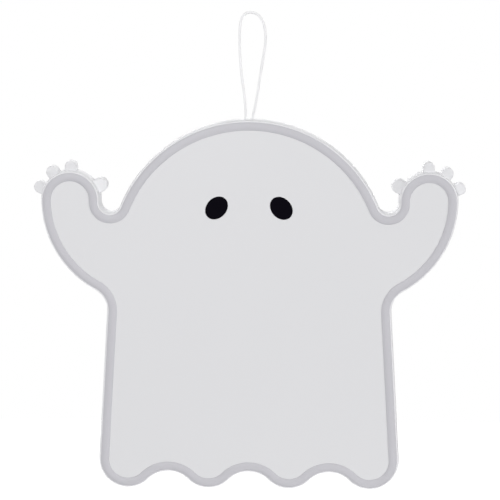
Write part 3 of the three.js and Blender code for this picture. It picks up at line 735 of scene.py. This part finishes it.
def makeHousing(spec):
    front, ledge = levels["front"], levels["ledge"]
    channel, channelBack, back = levels["channel"], levels["channelBack"], levels["housingBack"]
    small = spec["channelRounding"]
    bm = ringMesh([
        (edges["case"], back, spec["seamRounding"]),
        (edges["case"], front + spec["shoulderDepth"], spec["shoulderRounding"]),
        (edges["lip"], front, spec["lipRounding"]),
        (edges["channel"], front, small),
        (edges["channel"], channel, 0),
        (-edges["channel"], channel, 0),
        (-edges["channel"], ledge, 0),
        (edges["ledge"], ledge, small),
        (edges["ledge"], channelBack, small),
        (edges["wall"], channelBack, 0),
        (edges["wall"], back, small),
    ])
    housing = toPiece(bm, "casingFront", "casing", "housing", ["front_housing"])
    stubs = fingersMesh(fingerSpec, fingerSpec["face"], back - flush, fingerSpec["frontEdge"], "start")
    combine(housing, stubs, "UNION")
    combine(housing, screwBars(screwSpec["boss"], ledge + flush, back - flush), "UNION")
    pilotEnd = levels["screwSeat"] + screwSpec["seatGap"] - screwSpec["length"] - screwSpec["fit"]
    pilots = screwBars(screwSpec["shank"] / 2 + screwSpec["fit"], pilotEnd, back + past)
    combine(housing, pilots, "DIFFERENCE")
    holes = bmesh.new()
    top = outline["headRadius"] + edges["case"]
    for x in (-cordSpec["holeSpacing"] / 2, cordSpec["holeSpacing"] / 2):
        addBar(holes, (x, 0, top - spec["holeDepth"]), (x, 0, top + past), spec["holeRadius"])
    leadHole = leadSpec["diameter"] / 2 + leadSpec["fit"]
    for x, z in leadEnds():
        addBar(holes, (x, channel - past / 2, z), (x, channelBack + past / 2, z), leadHole)
    combine(housing, holes, "DIFFERENCE")
    softenRims(housing)
    weightNormals(housing)
    print("front housing made")


makeHousing(housingSpec)

# face panel and eyes
eyeSpec = {
    "spacing": 46, "z": 37.1, "long": 17.9, "short": 14.1, "tilt": 47,
    "thickness": 1.0, "fit": 0.15, "edge": 0.2,
}
panelSpec = {"edge": 0.12, "backEdge": 0.15, "border": 1.5}


def addEye(bm, spec, side, grow, y0, y1, edge=0.0):
    shape = bmesh.new()
    bmesh.ops.create_circle(shape, cap_ends=True, radius=1, segments=64)
    arrange(shape, shape.verts, scale=(spec["long"] / 2 + grow, spec["short"] / 2 + grow, 1))
    tilt = radians(spec["tilt"] if side < 0 else 180 - spec["tilt"])
    turn = Matrix.Rotation(pi / 2, 4, "X") @ Matrix.Rotation(tilt, 4, "Z")
    place = Matrix.Translation((side * spec["spacing"] / 2, y0, spec["z"])) @ turn
    bmesh.ops.transform(shape, matrix=place, verts=shape.verts)
    liftFace(shape, shape.faces[:][0], (0, y1 - y0, 0), edge, "start")
    addShape(bm, shape)
    return bm


def fillLoops(bm):
    openEdges = [edge for edge in bm.edges if len(edge.link_faces) == 1]
    bmesh.ops.edgeloop_fill(bm, edges=openEdges)
    faceOut(bm)


def makePanel(spec, eyes):
    rim, front, back = -edges["channel"], levels["front"], levels["panelBack"]
    bm = ringMesh([
        (rim - spec["border"], back, 0),
        (rim, back, spec["backEdge"]),
        (rim, front, spec["edge"]),
        (rim - spec["border"], front, 0),
    ], closed=False)
    fillLoops(bm)
    panel = toPiece(bm, "facePanel", "casing", "panel", ["face_panel"])
    pockets = bmesh.new()
    for side in (-1, 1):
        addEye(pockets, eyes, side, eyes["fit"], front - past, front + eyes["thickness"] + eyes["fit"])
    combine(panel, pockets, "DIFFERENCE")
    weightNormals(panel)
    for side, name in ((-1, "Left"), (1, "Right")):
        bm = addEye(bmesh.new(), eyes, side, 0, front, front + eyes["thickness"], eyes["edge"])
        eye = toPiece(bm, "eye" + name, "casing", "eye", ["eye_" + name.lower()])
        weightNormals(eye)
    print("face panel and eyes made")


makePanel(panelSpec, eyeSpec)

# light tube
tubeSpec = {
    "width": 5.9, "proud": 0.02, "crown": 1.0, "crownWidth": 3.1, "shoulderRounding": 0.12,
    "crownRounding": 1.2, "base": -4.9, "baseRounding": 0.3,
}


def makeTube(spec):
    shoulder = levels["front"] - spec["proud"]
    crown = shoulder - spec["crown"]
    half, flat = spec["width"] / 2, spec["crownWidth"] / 2
    bm = ringMesh([
        (half, spec["base"], spec["baseRounding"]),
        (half, shoulder, spec["shoulderRounding"]),
        (flat, crown, spec["crownRounding"]),
        (-flat, crown, spec["crownRounding"]),
        (-half, shoulder, spec["shoulderRounding"]),
        (-half, spec["base"], spec["baseRounding"]),
    ])
    tube = toPiece(bm, "lightTube", "casing", "tube", ["diffuser_tube"], sharp=60)
    weightNormals(tube)
    print("light tube made")


makeTube(tubeSpec)

# tray, door and switch places
traySpec = {
    "z": -62, "length": 51.5, "height": 33.1, "wall": 2.8, "front": -5.1, "floor": -4.0,
    "doorLength": 53.9, "doorHeight": 35.5, "doorFit": 0.35, "doorGap": 0.3,
    "latchWidth": 13, "latchHeight": 5, "latchSeat": 1.2, "nailRadius": 5, "nailDepth": 0.8,
    "tabX": 18, "tabWidth": 6, "tabReach": 1.6, "tabSlot": 2.4, "tabSlotFront": 3.6,
    "postX": 14.5, "post": 5, "postHole": 2.4, "postEnd": 2.3, "postFloor": 0.3,
}
cellSpec = {
    "diameter": 10.5, "length": 44.5, "pitch": 10.9, "nipple": 3.8, "nippleLength": 1.0, "y": 1.45,
    "plusEnd": 24.75, "band": 10, "plusSides": [-1, 1, -1],
}
switchSpec = {
    "z": -98.5, "slotLength": 7.6, "slotHeight": 2.4, "dishMargin": 2, "dishDepth": 0.8,
    "footLength": 5, "footHeight": 2.4, "footY": 5.0, "footDepth": 1.2, "footCorner": 0.3, "footEdge": 0.1,
    "knobLength": 3, "knobHeight": 1.8, "knobTip": 9.1, "knobRoot": 0.4, "knobCorner": 0.35, "knobEdge": 0.2,
    "ridgePitch": 0.75, "ridgeHalf": 1.5, "ridgeOut": 0.12, "ridgeRadius": 0.26,
}
coverSpec = {"border": 1.5, "innerRounding": 0.12, "seamRounding": 0.2, "backRounding": 0.9, "backBorder": 3}


# Where a cell lies, counted from the top
def rowZ(row):
    return traySpec["z"] + (1 - row) * cellSpec["pitch"]


def makeCover(spec, tray, switch, screw):
    inside, parting, back = levels["coverInside"], levels["parting"], levels["back"]
    bm = ringMesh([
        (edges["wall"] - spec["border"], inside, 0),
        (edges["wall"], inside, 0),
        (edges["wall"], parting, spec["innerRounding"]),
        (edges["case"], parting, spec["seamRounding"]),
        (edges["case"], back, spec["backRounding"]),
        (edges["case"] - spec["backBorder"], back, 0),
    ], closed=False)
    fillLoops(bm)
    cover = toPiece(bm, "casingBack", "casing", "housing", ["back_cover"])
    stubs = fingersMesh(fingerSpec, parting + flush, back, fingerSpec["backEdge"], "end")
    combine(cover, stubs, "UNION")
    combine(cover, screwBars(screw["boss"], parting + flush, inside + bite), "UNION")
    posts, postHoles = bmesh.new(), bmesh.new()
    end, floor, z = tray["postEnd"], inside - tray["postFloor"], leadSpec["boardZ"]
    for x in (-tray["postX"], tray["postX"]):
        addBar(posts, (x, end, z), (x, inside + bite, z), tray["post"] / 2)
        addBar(postHoles, (x, end - past, z), (x, floor, z), tray["postHole"] / 2)
    combine(cover, posts, "UNION")
    combine(cover, postHoles, "DIFFERENCE")

    # the tray and the latch's seat are added, and what lies in them is cut out:
    # height of the middle, length, height, first and last level, corner
    trayZ, latchZ = tray["z"], tray["z"] + tray["doorHeight"] / 2 + tray["latchHeight"] / 2
    recess, out = levels["door"] - tray["doorGap"], back + past
    walls, fit, dish = 2 * tray["wall"], 2 * tray["doorFit"], 2 * switch["dishMargin"]
    grow = 2 * (tray["doorFit"] + tray["latchSeat"])
    blocks = [
        ("UNION", trayZ, tray["length"] + walls, tray["height"] + walls, tray["front"], inside + bite, 1.5),
        ("UNION", latchZ, tray["latchWidth"] + grow, tray["latchHeight"] + grow, recess - tray["latchSeat"],
         inside + bite, 0.5),
        ("DIFFERENCE", trayZ, tray["length"], tray["height"], tray["floor"], out, 0.8),
        ("DIFFERENCE", trayZ, tray["doorLength"] + fit, tray["doorHeight"] + fit, recess, out, 1.0),
        ("DIFFERENCE", latchZ, tray["latchWidth"] + fit, tray["latchHeight"] + fit, recess, out, 1.0),
        ("DIFFERENCE", switch["z"], switch["slotLength"], switch["slotHeight"], parting - past, out, 0.4),
        ("DIFFERENCE", switch["z"], switch["slotLength"] + dish, switch["slotHeight"] + dish,
         back - switch["dishDepth"], out, 2.2),
    ]
    for operation, *block in blocks:
        combine(cover, newBlock(0, *block), operation)
    nailZ = latchZ + tray["latchHeight"] / 2
    start = (0, back - tray["nailDepth"], nailZ)
    combine(cover, addBar(bmesh.new(), start, (0, out, nailZ), tray["nailRadius"], sides=48), "DIFFERENCE")
    slots = bmesh.new()
    foot = tray["z"] - tray["doorHeight"] / 2
    z0, z1, width = foot - tray["tabReach"] - fit, foot + tray["tabSlot"], tray["tabWidth"] + fit
    for x in (-tray["tabX"], tray["tabX"]):
        addBlock(slots, x, (z0 + z1) / 2, width, z1 - z0, tray["tabSlotFront"], inside + flush)
    combine(cover, slots, "DIFFERENCE")
    leadHoles = bmesh.new()
    wallX, y = tray["length"] / 2, cellSpec["y"]
    for side, row in ((-1, 0), (1, 2)):
        start = (side * (wallX - past), y, rowZ(row))
        end = (side * (wallX + tray["wall"] + past), y, rowZ(row))
        addBar(leadHoles, start, end, leadSpec["diameter"] / 2 + leadSpec["fit"])
    combine(cover, leadHoles, "DIFFERENCE")
    combine(cover, screwBars(screw["head"] / 2 + screw["fit"], levels["screwSeat"], out), "DIFFERENCE")
    combine(cover, screwBars(screw["shank"] / 2 + screw["fit"], parting - past, back), "DIFFERENCE")
    softenRims(cover, (back - 0.01) * mm, screw["rimEdge"] * mm)
    weightNormals(cover)
    print("back cover made")


makeCover(coverSpec, traySpec, switchSpec, screwSpec)

# Battery door: a leaf with a rounded foot, a latch with finger grooves, and two tabs at the foot
doorSpec = {
    "corner": 1.0,
    "latchCorner": 1.2,
    "innerCorner": 0.3,
    "edge": 0.25,
    "tabThickness": 1.0,
    "tabStem": 0.8,
    "tabCorner": 0.25,
    "tabGap": 0.3,
    "grooves": 3,
    "groovePitch": 1.3,
    "grooveLength": 9,
    "grooveDepth": 0.35,
    "grooveRadius": 0.5,
    "arrow": 1.9,
    "arrowDrop": 3.2,
}


def makeDoor(tray, spec):
    door, back, tabY = levels["door"], levels["back"], levels["coverInside"] - spec["tabGap"]
    foot = tray["z"] - tray["doorHeight"] / 2
    head = foot + tray["doorHeight"]
    top = head + tray["latchHeight"]
    hingeZ = foot + (back - door) / 2

    # a grid of three columns and two rows, without the squares beside the latch
    bm = bmesh.new()
    wide, narrow = tray["doorLength"] / 2, tray["latchWidth"] / 2
    columns, rows = [-wide, -narrow, narrow, wide], [foot, head, top]
    for vert in bmesh.ops.create_grid(bm, x_segments=3, y_segments=2, size=0.5)["verts"]:
        vert.co = (columns[round((vert.co.x + 0.5) * 3)], door, rows[round((vert.co.y + 0.5) * 2)])
    beside = []
    for face in bm.faces:
        middle = face.calc_center_median()
        if middle.z > head and abs(middle.x) > narrow:
            beside.append(face)
    bmesh.ops.delete(bm, geom=beside, context="FACES")
    bmesh.ops.dissolve_faces(bm, faces=bm.faces[:])
    along = [vert for vert in bm.verts if vert.co.z < foot + 0.1 and abs(vert.co.x) < tray["latchWidth"]]
    bmesh.ops.dissolve_verts(bm, verts=along)
    corners = {"corner": [], "latchCorner": [], "innerCorner": []}
    for vert in bm.verts:
        if vert.co.z > top - 0.1:
            corners["latchCorner"].append(vert)
        elif vert.co.z > head - 0.1:
            corners["innerCorner" if abs(vert.co.x) < narrow + 0.1 else "corner"].append(vert)
    for kind, chosen in corners.items():
        roundOff(bm, chosen, spec[kind], 5, "VERTICES")
    liftFace(bm, bm.faces[:][0], (0, back - door, 0))
    footEdges = [edge for edge in bm.edges if edge.calc_length() > tray["doorLength"] - 1
                 and all(vert.co.z < foot + 0.1 for vert in edge.verts)]
    roundOff(bm, footEdges, (back - door) / 2 - 0.02, 6)
    rim = [edge for edge in bm.edges if edge.calc_face_angle(0) > 1
           and all(vert.co.y > back - 0.01 for vert in edge.verts)]
    roundOff(bm, rim, spec["edge"], 2)
    faceOut(bm)
    leaf = toPiece(bm, "batteryDoor", "door", "housing", ["battery_door"])

    # each tab is a stem and a foot
    low, stem = foot - tray["tabReach"], spec["tabStem"]
    tabs = [
        (hingeZ, stem, door + 0.2, 0.0),
        ((low + hingeZ + stem / 2) / 2, hingeZ + stem / 2 - low, tabY, spec["tabCorner"]),
    ]
    for x in (-tray["tabX"], tray["tabX"]):
        for z, height, end, corner in tabs:
            tab = newBlock(x, z, tray["tabWidth"], height, tabY - spec["tabThickness"], end, corner)
            combine(leaf, tab, "UNION")
    half, radius = spec["grooveLength"] / 2, spec["grooveRadius"]
    y = back + radius - spec["grooveDepth"]
    for i in range(spec["grooves"]):
        z = top - spec["groovePitch"] * (i + 1)
        combine(leaf, addBar(bmesh.new(), (-half, y, z), (half, y, z), radius, sides=16), "DIFFERENCE")
    arrow = bmesh.new()
    made = bmesh.ops.create_circle(arrow, cap_ends=True, radius=spec["arrow"], segments=3)["verts"]
    arrange(arrow, made, turn=(-pi / 2, "X"), move=(0, back - spec["grooveDepth"], head - spec["arrowDrop"]))
    liftFace(arrow, arrow.faces[:][0], (0, past, 0))
    combine(leaf, arrow, "DIFFERENCE")
    weightNormals(leaf)
    print("battery door made")


makeDoor(traySpec, doorSpec)


# Switch slider: a foot that stays inside and a ridged knob that stands out of its slot
def makeSlider(spec):
    z, footEnd = spec["z"], spec["footY"] + spec["footDepth"]
    foot = newBlock(0, z, spec["footLength"], spec["footHeight"], spec["footY"], footEnd,
                    spec["footCorner"], spec["footEdge"], "both")
    slider = toPiece(foot, "switchKnob", "slider", "switch", ["switch_slider"])
    knob = newBlock(0, z, spec["knobLength"], spec["knobHeight"], footEnd - spec["knobRoot"], spec["knobTip"],
                    spec["knobCorner"], spec["knobEdge"], "end")
    combine(slider, knob, "UNION")
    ridges = bmesh.new()
    y, half = spec["knobTip"] + spec["ridgeOut"], spec["ridgeHalf"]
    for x in (-spec["ridgePitch"], 0, spec["ridgePitch"]):
        addBar(ridges, (x, y, z - half), (x, y, z + half), spec["ridgeRadius"], sides=12)
    combine(slider, ridges, "DIFFERENCE")
    weightNormals(slider)
    print("switch slider made")


makeSlider(switchSpec)


# Cover screws: pan heads with a cross recess, each turned its own way
def makeScrews(spec):
    seat = levels["screwSeat"] + spec["seatGap"]
    top, end = seat + spec["headDepth"], seat - spec["length"]
    head, shank = spec["head"] / 2, spec["shank"] / 2
    core = shank - spec["thread"]
    section = [
        (0, top), (head * 0.55, top - 0.03), (head - 0.12, top - 0.42), (head, top - 0.75),
        (head, seat + 0.1), (head - 0.1, seat), (shank, seat),
    ]
    turn = seat
    while turn > end + spec["threadEnd"]:
        section += [(shank, turn - 0.15), (core, turn - 0.55), (core, turn - 0.75)]
        turn -= spec["pitch"]
    section += [(core, end + spec["tip"]), (spec["point"], end), (0, end)]
    bm = turnPoints([(x, y, 0) for x, y in section], (0, 1, 0), 32)
    faceOut(bm)
    pattern = toPiece(bm, "coverScrew1", "casing", "screw", ["cover_screw_1"], "steel", 40)
    for angle in (0, pi / 2):
        slot = bmesh.new()
        made = bmesh.ops.create_cube(slot, size=1)["verts"]
        arrange(slot, made, scale=(spec["crossLength"], 2 * spec["crossDepth"], spec["crossWidth"]))
        arrange(slot, [vert for vert in made if vert.co.y < 0], scale=(spec["crossTaper"], 1, 1))
        arrange(slot, made, turn=(angle, "Y"), move=(0, top, 0))
        combine(pattern, slot, "DIFFERENCE", 40)
    softenRims(pattern)
    places = [(side * x, z) for x, z in found["screws"] for side in (-1, 1)]
    shape = pattern.data
    lowered = Matrix.Translation((0, 0, -headCentre * mm))
    for i in range(1, len(places) + 1):
        low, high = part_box(f"cover_screw_{i}")
        boxX, boxZ = (low.x + high.x) / 2 / mm, (low.z + high.z) / 2 / mm - headCentre
        x, z = min(places, key=lambda place: hypot(place[0] - boxX, place[1] - boxZ))
        turned = Matrix.Rotation(radians(spec["turn"] * i), 4, "Y")
        mesh = shape.copy()
        mesh.transform(Matrix.Translation((x * mm, 0, (z + headCentre) * mm)) @ turned @ lowered)
        if i == 1:
            pattern.data = mesh
            continue
        screw = bpy.data.objects.new(f"coverScrew{i}", mesh)
        collection.objects.link(screw)
        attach(screw, "casing")
        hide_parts(f"cover_screw_{i}")
    print("cover screws made")


makeScrews(screwSpec)


# Cells, with a wrapped jacket, a coloured band at the plus end and bare metal ends
def makeCells(spec):
    radius, nipple = spec["diameter"] / 2, spec["nipple"] / 2
    plus, shoulder = spec["plusEnd"], spec["plusEnd"] - spec["nippleLength"]
    minus, seam = plus - spec["length"], shoulder - spec["band"]
    section = [
        (plus, 0), (plus, nipple - 0.4), (plus - 0.12, nipple - 0.1), (plus - 0.4, nipple),
        (shoulder + 0.2, nipple), (shoulder, nipple + 0.15), (shoulder - 0.25, nipple + 0.5),
        (shoulder - 0.25, radius - 1.1), (shoulder - 0.05, radius - 0.9), (shoulder, radius - 0.55),
        (shoulder - 0.15, radius - 0.2), (shoulder - 0.6, radius), (minus + 0.5, radius),
        (minus + 0.12, radius - 0.2), (minus, radius - 0.5), (minus + 0.05, radius - 0.85),
        (minus + 0.25, radius - 1), (minus + 0.25, 2.2), (minus, 2.0), (minus, 0),
    ]
    for i, side in enumerate(spec["plusSides"]):
        bm = turnPoints([(x, 0, out) for x, out in section], (1, 0, 0), 40)
        bmesh.ops.bisect_plane(
            bm, geom=bm.verts[:] + bm.edges[:] + bm.faces[:], plane_co=(seam, 0, 0), plane_no=(1, 0, 0),
        )
        for face in bm.faces:
            centre = face.calc_center_median()
            if hypot(centre.y, centre.z) < radius - 0.5:
                face.material_index = 1
            elif centre.x > seam:
                face.material_index = 2
        arrange(bm, bm.verts, scale=(side, 1, 1), move=(0, spec["y"], rowZ(i)))
        faceOut(bm)
        cell = toPiece(bm, f"cell{i + 1}", "casing", "cell", [f"battery_{i + 1}"], sharp=50)
        cell.data.materials.append(materials["contact"])
        cell.data.materials.append(materials["band"])
    print("cells made")


makeCells(cellSpec)

# Contacts at the tray's ends, with a coil over each minus end and a pressed stud over each plus end
contactSpec = {
    "face": 25.05, "thickness": 0.4, "depth": 8.0, "height": 8.6, "corner": 1.0, "edge": 0.08,
    "coilFoot": 5.8, "coilTip": 3.6, "coilLength": 4.9, "coilTurns": 4.5, "wire": 0.6,
    "stud": 3.2, "studHeight": 0.45, "studRoot": 0.2, "studTaper": 0.4,
}


def makeContacts(spec, cells):
    plates = {
        "contactPlus": (-1, [0], "positive_contact"),
        "contactLinkLeft": (-1, [1, 2], "bridge_contact_left"),
        "contactLinkRight": (1, [0, 1], "bridge_contact_right"),
        "contactMinus": (1, [2], "negative_contact"),
    }
    face, wire, y = spec["face"], spec["wire"], cells["y"]
    for name, (side, held, node) in plates.items():
        rows = [rowZ(i) for i in held]
        height = max(rows) - min(rows) + spec["height"]
        bm = newBlock(0, 0, spec["depth"], height, 0, spec["thickness"], spec["corner"], spec["edge"], "both")
        arrange(bm, bm.verts, turn=(-side * pi / 2, "Z"), move=(side * face, y, sum(rows) / len(rows)))
        faceOut(bm)
        plate = toPiece(bm, name, "casing", "contact", [node])
        for i, z in zip(held, rows):
            if cells["plusSides"][i] == side:
                start = (side * (face + spec["studRoot"]), y, z)
                end = (side * (face - spec["studHeight"]), y, z)
                radius = spec["stud"] / 2
                combine(plate, addBar(bmesh.new(), start, end, radius, radius - spec["studTaper"]), "UNION")
                continue
            path = []
            steps = int(16 * spec["coilTurns"])
            for k in range(steps + 1):
                share = k / steps
                angle = 2 * pi * spec["coilTurns"] * share
                out = (spec["coilFoot"] * (1 - share) + spec["coilTip"] * share) / 2 - wire / 2
                travel = face + wire * 0.3 - (spec["coilLength"] - wire * 0.3) * share
                path.append(Vector((side * travel, y + out * cos(angle), z + out * sin(angle))))
            combine(plate, strandMesh(path, plainSection(wire, 10)), "UNION", 50)
    print("contacts made")


makeContacts(contactSpec, cellSpec)


# Insulated leads from the tray to the board and from the board to the light strip
def makeLeads(spec, tray, cells):
    y, boardY, boardZ, bend = cells["y"], spec["boardY"], spec["boardZ"], spec["bend"]
    wallX, half, foot = tray["length"] / 2, spec["boardHalf"], spec["boardFoot"]
    for side, row, sign in ((-1, 0, "positive"), (1, 2, "negative")):
        z = rowZ(row)
        run = side * (wallX + tray["wall"] + spec["runOut"])
        route = [
            (side * wallX, y, z), (side * (wallX + tray["wall"]), y, z), (run, y, z - bend),
            (run, (y + boardY) / 2, (z + boardZ) / 2), (run, boardY, boardZ + bend),
            (side * (half + bend), boardY, boardZ), (side * (half + spec["solder"]), boardY, boardZ),
        ]
        addLead(spec, route, sign, "batteryLead", "battery_lead_")
    for (x, end), sign in zip(leadEnds(), ("positive", "negative")):
        route = [
            (x, boardY, foot - spec["solder"]), (x, boardY, foot - bend), (x, boardY, end + 2 * bend),
            (x, boardY - spec["dip"] / 3, end + spec["dip"]), (x, levels["channelBack"], end),
            (x, spec["stripY"], end),
        ]
        addLead(spec, route, sign, "stripLead", "strip_lead_")
    print("leads made")


def addLead(spec, route, sign, name, node):
    colour = "red" if sign == "positive" else "black"
    line, _ = smoothLine(route, spec["pointSpacing"])
    bm = strandMesh(line, plainSection(spec["diameter"], spec["sectionPoints"]))
    toPiece(bm, name + sign.capitalize(), "casing", colour + "_lead", [node + sign], colour + "Lead", 60)


makeLeads(leadSpec, traySpec, cellSpec)

# The solids that are shown as they are
nodeFinishes = {
    "led_strip": "strip",
    "control_board": "board",
    "switch_body": "switch",
    "board_screw_1": "steel",
    "board_screw_2": "steel",
}
for node, finish in nodeFinishes.items():
    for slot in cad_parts[node].material_slots:
        slot.material = materials[finish]

# floor, background and light
stageSpec = {"floor": -1.75, "reach": 6.0, "floorColour": srgb(205, 205, 207), "glow": 0.8}
worldSpec = {"fill": 0.48}
lamps = {
    "keyLamp": {"position": (-0.4, -1.05, 0.42), "size": 0.4, "power": 6.9},
    "rightLamp": {"position": (1.25, -0.48, -0.02), "size": 0.15, "power": 5.0},
    "leftLamp": {"position": (-1.5, 0.05, -0.3), "size": 0.4, "power": 2.0},
    "lowLamp": {"position": (0.1, -0.5, -0.95), "size": 0.4, "power": 1.9},
    "backLamp": {"position": (-0.1, 1.4, -0.02), "size": 0.8, "power": 9.3},
}


def seenDirectly(tree):
    light = addNode(tree, "ShaderNodeLightPath")
    seen = addMath(tree, "MAXIMUM", light.outputs["Is Camera Ray"], light.outputs["Is Glossy Ray"])
    return addMath(tree, "MAXIMUM", seen, light.outputs["Is Transmission Ray"])


def makeWorld(spec):
    world = bpy.data.worlds.new("studio")
    bpy.context.scene.world = world
    world.use_nodes = True
    tree = world.node_tree
    fill = tree.nodes["Background"]
    fill.inputs["Color"].default_value = (1, 1, 1, 1)
    fill.inputs["Strength"].default_value = spec["fill"]
    white = addNode(tree, "ShaderNodeBackground", inputs={"Color": (1, 1, 1, 1), "Strength": 1.0})
    mix = addNode(tree, "ShaderNodeMixShader")
    tree.links.new(seenDirectly(tree), mix.inputs[0])
    tree.links.new(fill.outputs[0], mix.inputs[1])
    tree.links.new(white.outputs[0], mix.inputs[2])
    tree.links.new(mix.outputs[0], tree.nodes["World Output"].inputs["Surface"])


def makeFloor(spec):
    bm = bmesh.new()
    bmesh.ops.create_grid(bm, x_segments=1, y_segments=1, size=spec["reach"])
    arrange(bm, bm.verts, move=(0, 0, spec["floor"]))
    mesh = bpy.data.meshes.new("floor")
    bm.to_mesh(mesh)
    bm.free()
    floor = bpy.data.objects.new("floor", mesh)
    collection.objects.link(floor)
    material = bpy.data.materials.new("paperFloor")
    material.use_nodes = True
    tree = material.node_tree
    shader = tree.nodes["Principled BSDF"]
    shader.inputs["Base Color"].default_value = spec["floorColour"]
    shader.inputs["Roughness"].default_value = 0.9
    glow = addMath(tree, "MULTIPLY", seenDirectly(tree), spec["glow"])
    shader.inputs["Emission Color"].default_value = (1, 1, 1, 1)
    tree.links.new(glow, shader.inputs["Emission Strength"])
    mesh.materials.append(material)


def makeLamps(spec):
    aim = Vector((0, 0, headCentre * mm))
    for name, lamp in spec.items():
        data = bpy.data.lights.new(name, "AREA")
        data.size = lamp["size"]
        data.energy = lamp["power"]
        light = bpy.data.objects.new(name, data)
        light.visible_camera = False
        collection.objects.link(light)
        light.matrix_world = lookAt(Vector(lamp["position"]), aim)


makeWorld(worldSpec)
makeFloor(stageSpec)
makeLamps(lamps)
print("stage and light made")
